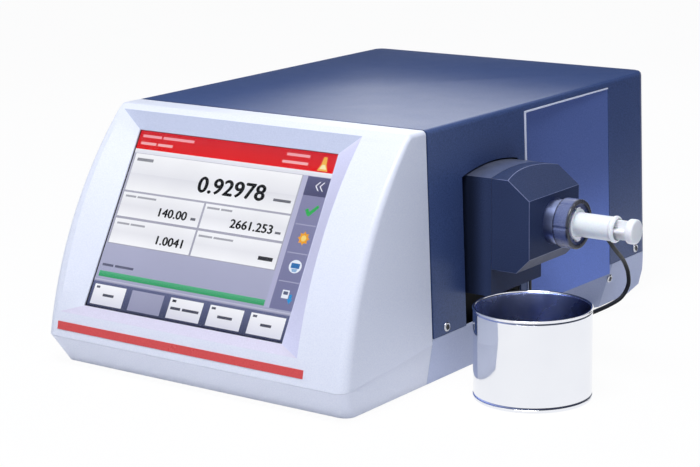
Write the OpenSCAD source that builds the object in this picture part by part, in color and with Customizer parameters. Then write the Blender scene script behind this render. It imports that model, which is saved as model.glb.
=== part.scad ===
// Benchtop density meter: a measuring instrument with a touch screen in a curved front, a slate blue
// sheet cover, a heated filling attachment with a syringe on its right side, and a loose waste cup.
// X runs across the instrument to the right, Y from the screen to the rear, Z up from the bench.

/* [Housing] */
// Width of the cover at its lower edge
body_w = 330; // [316:1:350]
// Width of the cover at its top
top_w = 320; // [306:1:330]
// Depth of the cover, from the bezel to the rear
cover_d = 381; // [372:1:420]
// Height of the housing above the bench
body_h = 222; // [214:1:236]
// Height of the cover's lower edge
cover_z = 42.8; // [40:0.2:46]
// Height of the tray's underside above the bench
clear_z = 1.5; // [1:0.1:3]
// How far the front stands out ahead of the cover
front_reach = 128.8; // [124:0.4:136]
// Flat stretch of the top ahead of the cover
top_flat = 24; // [20:1:28]
// Bulge of the curved front over its chord
front_bulge = 17; // [16:0.5:20]
// Height of the seam under the bezel, at the front
seam_front = 27.5; // [24:0.5:30]
// Height of the seam under the bezel, at the cover
seam_rear = 38.4; // [36:0.2:39.4]
// How far the tray draws in towards the bench, each side
tray_taper = 7; // [4:0.5:9]
// Visible gap between bezel and cover
bezel_gap = 2.4; // [1.6:0.1:3]
// Radius of the bezel's side edges at the bottom
edge_low_r = 10; // [6:0.5:12]
// Radius of the bezel's side edges at the top, and of the cover's upper edges
edge_top_r = 4; // [3:0.5:6]
// Radius of the cover's rear corners seen from above
rear_corner_r = 12; // [8:1:16]

/* [Walls] */
// Wall of the moulded bezel, skirt and tray
wall = 3; // [2.4:0.1:3.6]
// Thickness of the cover's sheet
sheet = 1.5; // [1.2:0.1:1.8]
// Thickness of the chassis plates
chassis_t = 2; // [1.6:0.1:2.4]
// Clearance between pieces that meet without touching
fit_gap = 0.3; // [0.2:0.05:0.4]
// Radial clearance of turning and sliding fits
run_gap = 0.08; // [0.05:0.01:0.1]

/* [Screen] */
// Width of the lit picture
display_w = 222.2; // [216:0.2:226]
// Height of the lit picture
display_h = 166.7; // [160:0.1:170]
// Tilt of the screen back from upright, in degrees
screen_tilt = 29.7; // [28:0.1:31]
// Sideways place of the screen's middle from the body's middle
screen_x = -15.5; // [-18:0.5:-10]
// Place of the screen's middle, behind the cover's front edge
screen_y = -77.4; // [-79:0.2:-76]
// Height of the screen's middle
screen_z = 129.6; // [128:0.2:131]
// Width of the bevel left of the picture
bevel_left = 25; // [22:0.5:26]
// Width of the bevel right of the picture
bevel_right = 19.5; // [17:0.5:24]
// Width of the bevel above the picture
bevel_top = 17; // [14:0.5:17]
// Width of the bevel below the picture
bevel_low = 9.3; // [7:0.1:10]
// Thickness of the touch glass
glass_t = 1.8; // [1.4:0.1:2.4]
// Thickness of the display panel
panel_t = 5; // [4:0.5:7]
// Height of the red strip
strip_h = 7; // [5:0.5:8]
// Length of the red strip
strip_len = 275; // [240:1:280]

/* [Filling attachment] */
// Distance of the port's axis behind the cover's front edge
port_y = 100; // [96:1:104]
// Height of the port's axis
port_z = 133.5; // [130:0.5:137]
// Width of the attachment along the cover
attach_w = 83; // [78:1:88]
// Height of the flange's lower end
flange_low = 70; // [66:1:76]
// Height of the attachment's upper edge at its sides
attach_top = 174; // [171:0.5:177]
// Rise of the arched top in the middle
attach_arch = 4.5; // [3:0.5:6]
// How far the flange stands out from the body's middle
flange_x = 186; // [183:0.5:189]
// How far the hood stands out from the body's middle
hood_x = 224; // [220:0.5:228]
// Height of the hood's underside
hood_low = 94; // [91:0.5:97]
// Outer diameter of the port barrel
barrel_d = 39; // [37:0.5:41]
// How far the port barrel stands out of the hood
barrel_out = 19; // [17:0.5:22]
// Outer diameter of the clamp ring
ring_d = 43; // [42:0.5:46]
// Length of the clamp ring
ring_len = 15; // [13:0.5:17]
// Width of the dark gap in front of the attachment
slot_gap = 7; // [5:0.5:8]

/* [Syringe] */
// Outer diameter of the syringe barrel
syringe_d = 21; // [19:0.1:21.6]
// Wall of the syringe barrel
syringe_wall = 1; // [0.8:0.1:1.3]
// Distance of the finger flange's end from the body's middle
syringe_end = 286; // [282:0.5:290]
// Diameter of the thumb disc
thumb_d = 21.4; // [19:0.2:23]
// Thickness of the thumb disc
thumb_t = 7; // [4:0.5:8]
// Length of plunger that shows between finger flange and thumb disc
plunger_out = 11; // [10:0.5:16]

/* [Side panel] */
// Distance of the panel's front edge behind the cover's front edge
niche_y = 154; // [151:0.5:158]
// Length of the panel
niche_len = 152; // [146:1:160]
// Height of the panel's upper edge
niche_top = 215.5; // [210:0.5:215.5]
// Depth of the panel at its front edge
niche_depth = 6; // [4:0.5:8]
// Depth of the tray's niche under the panel
tray_niche = 16; // [12:0.5:18]

/* [Waste cup] */
// Outer diameter of the cup
cup_d = 100.8; // [90:0.2:110]
// Height of the cup
cup_h = 77.8; // [65:0.2:85]
// Wall of the cup
cup_wall = 1.2; // [1:0.1:2]
// Sideways place of the cup's middle
cup_x = 245.4; // [240:0.2:252]
// Distance of the cup's middle behind the cover's front edge
cup_y = 29.1; // [24:0.1:32]

/* [Rear] */
// Size of the square fan
fan_size = 80; // [60:1:80]
// Depth of the fan
fan_depth = 25; // [20:1:30]
// Width of the mains inlet's flange
inlet_w = 27.5; // [26:0.1:29]
// Height of the mains inlet's flange
inlet_h = 47; // [45:0.5:50]

/* [Lead] */
// Diameter of the attachment's lead
lead_d = 4; // [3.6:0.1:4]

/* [Hidden] */
$fn = 64;
eps = 0.01;

// reach of the whole object, so that its box is centred over the origin
thumb_x = syringe_end + plunger_out + thumb_t;
rear_t = 2;
panel_y0 = cover_d - sheet - rear_t - fit_gap;
inlet_y1 = panel_y0 + rear_t;
rear_reach = 3;
place_x = (body_w / 2 - thumb_x) / 2;
place_y = (front_reach - inlet_y1 - rear_reach) / 2;

module place() { translate([place_x, place_y, 0]) children(); }

// half the width of the drafted sides at a height
function half_w(z) = top_w / 2 + (body_w - top_w) / 2 * (body_h - z) / (body_h - cover_z);
draft = atan((body_w - top_w) / 2 / (body_h - cover_z));

// the frame of the right side face: x out of the face, y to the rear, z up along it from the cover's edge
module at_side() { translate([body_w / 2, 0, cover_z]) rotate([0, -draft, 0]) children(); }

// a prism along X from a side outline given as [y, z], and one along Y from a front outline [x, z]
module along_x(x0, x1) { translate([x0, 0, 0]) rotate([90, 0, 90]) linear_extrude(x1 - x0) children(); }
module along_y(y0, y1) { translate([0, y1, 0]) rotate([90, 0, 0]) linear_extrude(y1 - y0) children(); }
module rod_x(x0, x1, d) { translate([x0, 0, 0]) rotate([0, 90, 0]) cylinder(h = x1 - x0, d = d); }
module rod_y(y0, y1, d) { translate([0, y1, 0]) rotate([90, 0, 0]) cylinder(h = y1 - y0, d = d); }
module block(x0, x1, y0, y1, z0, z1) { translate([x0, y0, z0]) cube([x1 - x0, y1 - y0, z1 - z0]); }
module at_port() { translate([0, port_y, port_z]) children(); }

// ---- curved front ----
// the front's side outline is an arc through its top edge and its foot
front_a = [-top_flat, body_h];
front_c = [-front_reach, seam_front];
chord = norm(front_a - front_c);
front_r = chord * chord / 8 / front_bulge + front_bulge / 2;
chord_n = [(front_a[1] - front_c[1]) / chord, -(front_a[0] - front_c[0]) / chord];
front_o = (front_a + front_c) / 2 + chord_n * (front_r - front_bulge);
ang_top = atan2(front_a[1] - front_o[1], front_a[0] - front_o[0]);
ang_low = atan2(front_c[1] - front_o[1], front_c[0] - front_o[0]);
front_steps = 9;
function seam_z(y) = seam_rear + (seam_rear - seam_front) * y / front_reach;

// a side rail of balls along the front's outline: each entry is [y, z, radius] of a ball inside it
function rail() = concat(
    [for (y = [12, -top_flat + 3]) [y, body_h - edge_top_r, edge_top_r]],
    [for (i = [0.4:1:front_steps + 0.5])
        let (f = i / front_steps, a = ang_top + (ang_low + (ang_low - ang_top) * 0.06 - ang_top) * f,
             r = edge_top_r + (edge_low_r - edge_top_r) * min(1, f))
        [front_o[0] + (front_r - r) * cos(a), front_o[1] + (front_r - r) * sin(a), r]]);

// the solid body of the front, drawn in by inset all round
module front_body(inset) {
    hull() for (s = [-1, 1]) {
        for (p = rail())
            translate([s * (half_w(p[1]) - p[2]), p[0], p[1]]) sphere(r = max(0.2, p[2] - inset), $fn = 16);
        translate([s * (half_w(seam_front) - edge_top_r), 12, seam_front - 12])
            sphere(r = max(0.2, edge_top_r - inset), $fn = 16);
    }
}

// the room between the seam and the cover that belongs to the bezel
module bezel_room(y_end) {
    y_far = -front_reach - 20;
    along_x(-body_w, body_w) polygon([[y_far, seam_z(y_far)], [y_end, seam_z(y_end)],
        [y_end, body_h + 20], [y_far, body_h + 20]]);
}

// the frame of the screen: x to its right, y up along it, z out of the glass
module at_screen() {
    translate([screen_x, screen_y, screen_z]) rotate([90 - screen_tilt, 0, 0]) children();
}
lip_t = 1.2;
land = 0.5;
function on_screen(u, v) = [screen_x + u, screen_y + v * sin(screen_tilt), screen_z + v * cos(screen_tilt)];

// the bevelled recess: from the picture's edge out to the curved front, grown by pad and sunk by down
module recess(pad, down) {
    u0 = -display_w / 2 - bevel_left - pad;
    u1 = display_w / 2 + bevel_right + pad;
    v_top = on_screen(0, display_h / 2 + bevel_top + pad);
    v_low = on_screen(0, -display_h / 2 - bevel_low - pad);
    a0 = atan2(v_top[2] - front_o[1], v_top[1] - front_o[0]);
    a1 = atan2(v_low[2] - front_o[1], v_low[1] - front_o[0]);
    hull() {
        at_screen() translate([-display_w / 2 - pad - land, -display_h / 2 - pad - land, -down])
            cube([display_w + 2 * (pad + land), display_h + 2 * (pad + land), 0.02]);
        for (u = [u0, u1]) for (i = [0:8]) let (a = a0 + (a1 - a0) * i / 8)
            translate([screen_x + u, front_o[0] + (front_r + 1.5) * cos(a), front_o[1] + (front_r + 1.5) * sin(a)])
                cube(0.02, center = true);
    }
}

// bosses behind the bezel that carry the display bracket
boss_u = display_w / 2 + 11;
boss_v = 58;
bracket_top = -lip_t - glass_t - panel_t - 2 * fit_gap;
bracket_t = 1.5;
module bezel_bosses() {
    at_screen() for (s = [-1, 1]) for (v = [-boss_v, boss_v])
        translate([s * boss_u, v, bracket_top]) cylinder(h = 8 - bracket_top, d = 8, $fn = 32);
}

module front_bezel() color("gainsboro") place() {
    difference() {
        union() {
            intersection() {
                difference() {
                    front_body(0);
                    front_body(wall);
                }
                bezel_room(-bezel_gap / 2);
            }
            intersection() {
                union() {
                    recess(4, lip_t + 2);
                    bezel_bosses();
                }
                front_body(wall / 2);
                bezel_room(-bezel_gap / 2 - 1);
            }
        }
        recess(0, 0);
        at_screen() {
            translate([-display_w / 2, -display_h / 2, -20]) cube([display_w, display_h, 30]);
            glass_pocket();
        }
    }
}

// room for glass and panel behind the lip
glass_lap = 5;
module glass_pocket() {
    w = display_w + 2 * glass_lap + 2 * fit_gap;
    h = display_h + 2 * glass_lap + 2 * fit_gap;
    translate([-w / 2, -h / 2, -lip_t - 20]) cube([w, h, 20]);
}

module on_glass(z0, z1, lap, lap_v) at_screen()
    translate([-display_w / 2 - lap, -display_h / 2 - lap_v, z0])
        cube([display_w + 2 * lap, display_h + 2 * lap_v, z1 - z0]);

module touch_glass() color([0.1, 0.1, 0.12]) place()
    on_glass(-lip_t - glass_t, -lip_t, glass_lap, glass_lap);
module display_panel() color("lightgray") place()
    on_glass(-lip_t - glass_t - panel_t, -lip_t - glass_t, glass_lap - 1, glass_lap - 1);

// sheet bracket on the bosses, with a window for the display board's cable and four folded pads
module display_bracket() color("silver") place() at_screen() {
    difference() {
        translate([-boss_u - 6, -display_h / 2 - 3, bracket_top - bracket_t])
            cube([2 * boss_u + 12, display_h + 6, bracket_t]);
        translate([-30, -20, bracket_top - 3]) cube([60, 40, 4]);
        for (s = [-1, 1]) for (v = [-boss_v, boss_v])
            translate([s * boss_u, v, bracket_top - 3]) cylinder(h = 4, d = 3.4);
    }
    for (s = [-1, 1]) translate([s * (display_w / 2 - 8) - 5, -30, bracket_top - eps]) cube([10, 60, 2 * fit_gap + eps]);
    for (s = [-1, 1]) for (v = [-45, 45]) translate([s * 70, v, bracket_top - bracket_t - 6])
        cylinder(h = 6 + eps, d = 6);
}
module display_board() color("darkgreen") place() at_screen() {
    z = bracket_top - bracket_t - 6 - 1.6;
    translate([-80, -52, z]) cube([160, 104, 1.6]);
    translate([-40, -30, z - 5]) cube([30, 30, 5 + eps]);
    translate([10, 5, z - 9]) cube([46, 12, 9 + eps]);
}

// the strip sits on the curved front, just proud of it
module accent_strip() color("firebrick") place() {
    x1 = display_w / 2 + screen_x + 27.5;
    strip_z = seam_front + 6.5;
    intersection() {
        difference() {
            translate([0, front_o[0], front_o[1]]) rod_x(x1 - strip_len, x1, 2 * front_r + 0.8, $fn = 720);
            translate([0, front_o[0], front_o[1]]) rod_x(x1 - strip_len - 1, x1 + 1, 2 * front_r + 0.02, $fn = 720);
        }
        block(-body_w, body_w, -front_reach - 10, 0, strip_z, strip_z + strip_h);
    }
}

// ---- skirt and tray ----
skirt_in = 15.8;
module skirt_body(inset) {
    foot_w = body_w / 2 - tray_taper;
    hull() for (s = [-1, 1]) {
        r = edge_low_r - inset;
        translate([s * (body_w / 2 - edge_low_r), -front_reach + edge_low_r, seam_front]) cylinder(h = 12, r = r, $fn = 40);
        translate([s * (foot_w - edge_low_r), -front_reach + skirt_in + edge_low_r, clear_z]) cylinder(h = eps, r = r, $fn = 40);
        translate([s * (body_w / 2 - 1 - inset) - 1, -2, cover_z - fit_gap - eps]) cube([2, 2, eps]);
        translate([s * (foot_w - 1 - inset) - 1, -2, clear_z]) cube([2, 2, eps]);
    }
}
module front_skirt() color("gainsboro") place() {
    y_far = -front_reach - 20;
    difference() {
        intersection() {
            skirt_body(0);
            along_x(-body_w, body_w) polygon([[y_far, 0], [-fit_gap, 0], [-fit_gap, seam_z(0) - fit_gap],
                [y_far, seam_z(y_far) - fit_gap]]);
        }
        translate([0, 0, wall]) skirt_body(wall);
        block(-body_w / 2 + 30, body_w / 2 - 30, -40, 5, clear_z + wall, cover_z);
    }
    // tongue that locates the bezel
    block(-body_w / 2 + 40, body_w / 2 - 40, -front_reach + wall + 0.6, -front_reach + 2 * wall + 3,
        seam_front - 5, seam_front - 2);
    block(-body_w / 2 + 40, body_w / 2 - 40, -front_reach + wall + 3, -front_reach + 2 * wall + 3,
        seam_front - 5, seam_front + 6);
}

rear_taper_y = 6;
chamfer_len = 29;
module tray_side(inset) {
    z_top = cover_z - fit_gap;
    along_x(-body_w, body_w) polygon([[inset, clear_z + inset], [cover_d - chamfer_len - inset / 2, clear_z + inset],
        [cover_d - rear_taper_y - inset, clear_z + 6 + inset], [cover_d - inset, z_top + (inset > 0 ? 1 : 0)],
        [inset, z_top + (inset > 0 ? 1 : 0)]]);
}
module tray_front(inset) {
    z_top = cover_z - fit_gap;
    w0 = body_w / 2 - tray_taper - inset;
    w1 = body_w / 2 - inset;
    along_y(-1, cover_d + 1) polygon([[-w0, clear_z], [w0, clear_z], [w1, z_top], [w1, z_top + 2],
        [-w1, z_top + 2], [-w1, z_top]]);
}

// plan outline of the tray, with the cover's rear corners
module tray_plan(inset) linear_extrude(cover_z + 3) hull() {
    translate([-body_w / 2 + inset, inset]) square([body_w - 2 * inset, 10]);
    for (s = [-1, 1]) translate([s * (body_w / 2 - rear_corner_r), cover_d - rear_corner_r])
        circle(r = rear_corner_r - inset, $fn = 40);
}

// plan outline of the tray's niche: deep floor, then a slope that runs out to the side face
niche_end = niche_y + niche_len;
module niche_plan(grow) {
    x_floor = body_w / 2 - tray_niche - grow;
    polygon([[x_floor, niche_y - grow], [body_w, niche_y - grow], [body_w, niche_end + 5 + grow],
        [body_w / 2, niche_end + 5 + grow], [x_floor, niche_end - 28 + grow]]);
}
foot_x = body_w / 2 - 45;
foot_ys = [-front_reach + 45, cover_d - 60];
foot_d = 20;
pillar_xy = [for (s = [-1, 1]) for (y = [30, cover_d - 40]) [s * (body_w / 2 - 45), y]];
plate_z = 14;
module base_tray() color("gainsboro") place() {
    difference() {
        intersection() {
            tray_side(0);
            tray_front(0);
            tray_plan(0);
        }
        difference() {
            intersection() {
                tray_side(wall);
                tray_front(wall);
                tray_plan(wall);
            }
            translate([0, 0, -1]) linear_extrude(cover_z + 3) niche_plan(wall);
        }
        translate([0, 0, -1]) linear_extrude(cover_z + 3) niche_plan(0);
        translate([0, 0, clear_z]) for (s = [-1, 1])
            translate([s * foot_x, foot_ys[1], -1]) cylinder(h = 2, d = foot_d + 2 * fit_gap);
        // hole for the lead's socket
        translate([0, socket_y, socket_z]) rod_x(body_w / 2 - tray_niche - wall - 2, body_w / 2, socket_d + 2 * fit_gap);
        niche_screw_at() cylinder(h = 30, d = screw_hole, center = true);
    }
    for (p = pillar_xy) translate([p[0], p[1], clear_z + wall - eps]) difference() {
        cylinder(h = plate_z - clear_z - wall + eps, d = 12);
        translate([0, 0, 2]) cylinder(h = plate_z, d = 4.4);
    }
}
module rubber_feet() color("dimgray") place() {
    for (s = [-1, 1]) translate([s * foot_x, foot_ys[1], 0])
        cylinder(h = clear_z + 1, d = foot_d);
    for (s = [-1, 1]) translate([s * (foot_x - 5), foot_ys[0], 0])
        cylinder(h = clear_z, d = foot_d);
}

// ---- cover ----
module cover_body(inset) {
    r = rear_corner_r - inset;
    e = edge_top_r;
    hull() for (s = [-1, 1]) for (y = [-30, cover_d - rear_corner_r]) {
        translate([s * (body_w / 2 - rear_corner_r), y, cover_z - (inset > 0 ? 5 : 0)])
            cylinder(h = eps, r = r, $fn = 40);
        for (k = [0:30:90])
            translate([s * (top_w / 2 - rear_corner_r), y, body_h - e + (e - inset) * sin(k)])
                cylinder(h = eps, r = rear_corner_r - e + (e - inset) * cos(k), $fn = 40);
    }
}
slot_y0 = port_y - attach_w / 2 - slot_gap;
slot_clear = 1.4;
slot_y1 = port_y + attach_w / 2 + slot_clear;
rear_window = rear_corner_r;
module cover_rear_cut(y0, y1, grow) along_y(y0, y1) polygon([
    [-half_w(cover_z) + rear_window - grow, cover_z - 6], [half_w(cover_z) - rear_window + grow, cover_z - 6],
    [half_w(body_h) - rear_window + grow, body_h - rear_window + grow],
    [-half_w(body_h) + rear_window - grow, body_h - rear_window + grow]]);
module top_cover() color("slategray") place() {
    difference() {
        intersection() {
            difference() {
                cover_body(0);
                cover_body(sheet);
            }
            block(-body_w, body_w, bezel_gap / 2, cover_d + 5, cover_z, body_h + 5);
        }
        // slot that drops over the filling attachment, open at the bottom
        along_x(body_w / 2 - 20, body_w / 2 + 10) attach_outline(cover_z - 5, slot_clear, slot_gap);
        // opening for the side panel
        at_side() block(-12, 5, niche_y, niche_end, -5, niche_top - cover_z);
        cover_rear_cut(cover_d - 10, cover_d + 5, 0);
        for (p = cover_screw_spots) screw_at(p) cylinder(h = 30, d = screw_hole, center = true);
    }
}

// screws that hold the cover, each with its place, as [side, y, z along the side]
screw_hole = 4.6;
head_d = 8.4;
cover_screw_spots = [for (s = [-1, 1]) for (y = [21, 356]) [s, y, cover_z + 6.2]];
niche_screw_z = 28;
tray_lean = atan(tray_taper / (cover_z - fit_gap - clear_z));
module screw_at(p) translate([p[0] * half_w(p[2]), p[1], p[2]]) rotate([0, p[0] * (90 - draft), 0]) children();
module niche_screw_at() translate([body_w / 2 - (cover_z - fit_gap - niche_screw_z) * tan(tray_lean), niche_end + 3, niche_screw_z])
    rotate([0, 90 + tray_lean, 0]) children();
module cover_screws() color("silver") place() {
    for (p = cover_screw_spots) screw_at(p) screw(9);
    niche_screw_at() screw(7);
}
// pan head screw along Z with its head's face at the origin side, head out, shank in
module screw(len) {
    difference() {
        cylinder(h = 1.4, d = head_d);
        translate([0, 0, 0.5]) cylinder(h = 2, d = 4, $fn = 6);
    }
    translate([0, 0, -len]) cylinder(h = len + eps, d = screw_hole - 2 * fit_gap);
}

// slanting panel: deepest at its front edge, flush at the rear, with a lip along front and top
panel_drop = 9;
lip_w = 1.4;
lip_proud = 1.2;
module panel_plan() {
    y0 = niche_y + fit_gap;
    y1 = niche_end - fit_gap;
    polygon([[lip_proud, y0], [lip_proud, y0 + lip_w], [-niche_depth + lip_w, y0 + lip_w], [-fit_gap, y1],
        [-fit_gap - sheet, y1], [-niche_depth - sheet + lip_w, y0 + lip_w], [-niche_depth - sheet + lip_w, y0]]);
}
module side_panel() color("slateblue") place() at_side() {
    top = niche_top - cover_z - fit_gap;
    translate([0, 0, -panel_drop]) linear_extrude(top + panel_drop) panel_plan();
    translate([0, 0, top - lip_w]) linear_extrude(lip_w) polygon([[lip_proud, niche_y + fit_gap],
        [-niche_depth - sheet + lip_w, niche_y + fit_gap], [-fit_gap - sheet, niche_end - fit_gap],
        [0.3, niche_end - fit_gap]]);
}

// ---- chassis ----
chassis_in = 22;
chassis_rear = 24;
module chassis_plate() color("silver") place() {
    difference() {
        block(-body_w / 2 + chassis_in, body_w / 2 - chassis_in, 14, cover_d - chassis_rear, plate_z, plate_z + chassis_t);
        for (p = pillar_xy) translate([p[0], p[1], plate_z - 1]) cylinder(h = 4, d = 4.6);
        block(body_w / 2 - tray_niche - wall - 14, body_w / 2, niche_y - wall - 8, niche_end + 20, plate_z - 1, plate_z + 4);
    }
}

// frame between bezel and cover: a ring under both edges, and a plate with a window
module ring_outline(inset) {
    w0 = half_w(cover_z) - inset;
    w1 = half_w(body_h) - inset;
    t = body_h - inset;
    c = 3;
    polygon([[-w0, plate_z], [w0, plate_z], [w1, t - c], [w1 - c, t], [-w1 + c, t], [-w1, t - c]]);
}
ring_in = wall + fit_gap;
module front_frame() color("dimgray") place() {
    difference() {
        along_y(-8, 12) ring_outline(ring_in + 0.5);
        along_y(-9, 8) ring_outline(ring_in + 0.5 + chassis_t);
        along_y(-9, 13) translate([-top_w / 2 + 45, plate_z]) square([top_w - 90, 140]);
        along_y(7, 13) translate([-top_w / 2 + 60, 70]) square([top_w - 120, body_h - 100]);
        block(-body_w, body_w, -9, 14, plate_z - 1, cover_z + fit_gap);
    }
    // feet of the frame on the chassis plate
    for (s = [-1, 1]) translate([s * (body_w / 2 - 37), 0, 0]) {
        block(-12, 12, 12 - chassis_t, 32, plate_z + chassis_t, plate_z + 2 * chassis_t);
        block(-12, 12, 12 - chassis_t, 12, plate_z + chassis_t, cover_z + 4);
    }
}

bracket_in = 12;
bracket_rise = 10;
bracket_x = half_w(attach_top + bracket_rise) - bracket_in;
module side_bracket() color("black") place() {
    difference() {
        union() {
            block(bracket_x - chassis_t, bracket_x, slot_y0 - 8, slot_y1 + 4, plate_z + chassis_t, attach_top + bracket_rise);
            block(bracket_x - 26, bracket_x - eps, slot_y0 - 8, slot_y1 + 4, plate_z + chassis_t, plate_z + 2 * chassis_t);
        }
        at_port() rod_x(bracket_x - 5, bracket_x + 5, 8);
        translate([0, port_y, outlet_z]) rod_x(bracket_x - 5, bracket_x + 5, 6);
    }
}

// ---- filling attachment ----
// outline of the attachment in [y, z] with an arched top, grown by top and side clearances
module attach_outline(low, grow, front_grow) {
    y0 = port_y - attach_w / 2;
    y1 = port_y + attach_w / 2;
    r = (attach_w * attach_w / 4 + attach_arch * attach_arch) / 2 / attach_arch;
    intersection() {
        polygon([[y0 - front_grow, low], [y1 + grow, low], [y1 + grow, attach_top + 30], [y0 - front_grow, attach_top + 30]]);
        union() {
            translate([port_y, attach_top + attach_arch - r + grow]) circle(r = r, $fn = 180);
            polygon([[y0 - front_grow, low - 1], [y1 + grow, low - 1], [y1 + grow, attach_top + grow - 4],
                [y0 - front_grow, attach_top + grow - 4]]);
        }
    }
}
outlet_z = port_z - 15;
spigot_x = flange_x - 6;
spigot_y = port_y + 33;
core_d = 30;
module tube_path(d) {
    at_port() rod_x(bracket_x - 30, flange_x + 30, d + 2);
    translate([0, port_y, outlet_z]) rod_x(bracket_x - 30, spigot_x + d / 2, d);
    translate([spigot_x, port_y, outlet_z]) rod_y(-d / 2, spigot_y - port_y + d / 2, d + 0.1);
    translate([spigot_x, spigot_y, flange_low - 30]) cylinder(h = outlet_z - flange_low + 30 + d / 2, d = d);
}
module attachment_flange() color("darkslategray") place() {
    difference() {
        along_x(bracket_x, flange_x) attach_outline(flange_low, 0, 0);
        tube_path(outlet_d + 2 * fit_gap);
        at_port() rod_x(flange_x - 8, flange_x + 1, nozzle_d + 2 * fit_gap);
    }
}

hood_wall = 4;
hood_slope_x = 203;
hood_slope_z = 16;
hood_chamfer = 13;
module hood_shape(inset) {
    top = attach_top + attach_arch + 2;
    slope = hood_slope_z / (hood_x - hood_slope_x);
    intersection() {
        along_x(flange_x - 1, hood_x - inset)
            difference() {
                attach_outline(hood_low + inset, -inset, -inset);
                translate([port_y - attach_w / 2 - 1, hood_low - 1]) square([0.5, 1]);
            }
        along_y(port_y - attach_w, port_y + attach_w) polygon([[flange_x - 2, hood_low - 5], [hood_x - hood_chamfer, hood_low - 5],
            [hood_x - hood_chamfer - inset * 0.4, hood_low + inset], [hood_x - inset, hood_low + hood_chamfer + inset * 0.4],
            [hood_x - inset, attach_top - hood_slope_z - inset * 0.5],
            [hood_slope_x - inset * 0.8 - (top - attach_top) / slope, top - inset * 0.3], [flange_x - 2, top]]);
    }
}
module attachment_hood() color("darkslategray") place() {
    difference() {
        intersection() {
            hood_shape(0);
            block(flange_x + 0.02, hood_x + 1, 0, cover_d, 0, body_h);
        }
        intersection() {
            hood_shape(hood_wall);
            block(flange_x - 2, hood_x + 1, 0, cover_d, 0, body_h);
        }
        at_port() rod_x(flange_x - 5, hood_x + 5, barrel_d + 2 * fit_gap);
        translate([gland_x, port_y + attach_w / 2, gland_z]) rod_y(-8, 5, gland_d - 2);
    }
}

// heated metal core: port barrel with a collar inside the hood, heater rod beside the bore
adapter_d = 24;
barrel_end = hood_x + barrel_out;
module port_barrel() color("dimgray") place() {
    difference() {
        at_port() union() {
            rod_x(flange_x + 0.02, barrel_end, barrel_d);
            rod_x(flange_x + 0.02, flange_x + 12, barrel_d + 16);
        }
        at_port() rod_x(flange_x + 22, barrel_end + 1, adapter_d + 2 * run_gap);
        at_port() rod_x(flange_x - 2, flange_x + 30, nozzle_d + 2 * fit_gap);
        translate([0, port_y, port_z + heater_off]) rod_x(flange_x - 2, flange_x + 32, heater_d + 2 * fit_gap);
    }
}
heater_d = 5;
heater_off = 16;
module heater_rod() color("silver") place() translate([0, port_y, port_z + heater_off])
    rod_x(flange_x + 0.2, flange_x + 30, heater_d);

nozzle_d = 10;
luer_d = 4.3;
nozzle_x0 = flange_x - 7.5;
nozzle_x1 = flange_x + 24;
module inlet_nozzle() color("silver") place() at_port() difference() {
    rod_x(nozzle_x0, nozzle_x1, nozzle_d);
    rod_x(nozzle_x0 - 1, nozzle_x1 - 12, 2);
    rod_x(nozzle_x1 - 12 - eps, nozzle_x1 + 1, luer_d + 2 * fit_gap);
}

// turning clamp ring over the barrel's end
ring_x1 = barrel_end + 6;
ring_floor = 2;
module clamp_ring() color([0.16, 0.17, 0.2]) place() at_port() difference() {
    rod_x(ring_x1 - ring_len, ring_x1, ring_d);
    rod_x(ring_x1 - ring_len - 1, barrel_end + fit_gap, barrel_d + 2 * run_gap);
    rod_x(barrel_end, ring_x1, adapter_d + 1.2);
    rod_x(barrel_end + fit_gap + ring_floor, ring_x1 + 1, ring_d - 7);
    for (k = [0:60:359]) rotate([k, 0, 0]) translate([0, 0, ring_d / 2 + 1.2]) rod_x(ring_x1 - ring_len - 1, ring_x1 + 1, 4);
}

// white adapter: sleeve in the barrel, disc with two lugs in front of the ring's floor
disc_x = barrel_end + fit_gap + ring_floor + fit_gap;
disc_t = 2.3;
module port_adapter() color("white") place() at_port() difference() {
    union() {
        rod_x(flange_x + 28, disc_x + disc_t, adapter_d);
        rod_x(disc_x, disc_x + disc_t, adapter_d + 3);
        for (s = [-1, 1]) translate([disc_x, -3, s * 13.5 - 1.5]) cube([disc_t, 6, 3]);
    }
    rod_x(flange_x + 20, disc_x + 10, syringe_d + 2 * run_gap);
}

// ---- syringe ----
shoulder_x = flange_x + 40;
tip_x = nozzle_x1 - 10;
module turned(pts) at_port() rotate([0, 90, 0]) rotate_extrude() polygon(pts);
module syringe_barrel() color("white") place() {
    r = syringe_d / 2;
    ri = r - syringe_wall;
    difference() {
        union() {
            turned([[0, tip_x], [luer_d / 2 - 0.15, tip_x], [luer_d / 2, nozzle_x1], [luer_d / 2 + 0.6, nozzle_x1 + 4],
                [luer_d / 2 + 2, shoulder_x - 6], [r, shoulder_x], [r, syringe_end], [0, syringe_end]]);
            // finger flange with two short wings
            at_port() intersection() {
                rod_x(syringe_end - 2.5, syringe_end, syringe_d + 5);
                block(syringe_end - 3, syringe_end + 1, -syringe_d / 2 - 0.6, syringe_d / 2 + 0.6, -20, 20);
            }
        }
        at_port() rod_x(shoulder_x + 1.5, syringe_end + 1, 2 * ri);
        at_port() rod_x(tip_x - 1, shoulder_x + 2, 1.6);
    }
}
seal_len = 7;
seal_x = shoulder_x + 12;
thumb_x0 = syringe_end + plunger_out;
module syringe_plunger() color("whitesmoke") place() at_port() {
    web = syringe_d - 2 * syringe_wall - 2;
    block(seal_x + seal_len, thumb_x0, -1, 1, -web / 2, web / 2);
    block(seal_x + seal_len, thumb_x0, -web / 2, web / 2, -1, 1);
    rod_x(seal_x + seal_len, seal_x + seal_len + 2, web);
    rod_x(thumb_x0 - eps, thumb_x0 + thumb_t, thumb_d);
}
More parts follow.
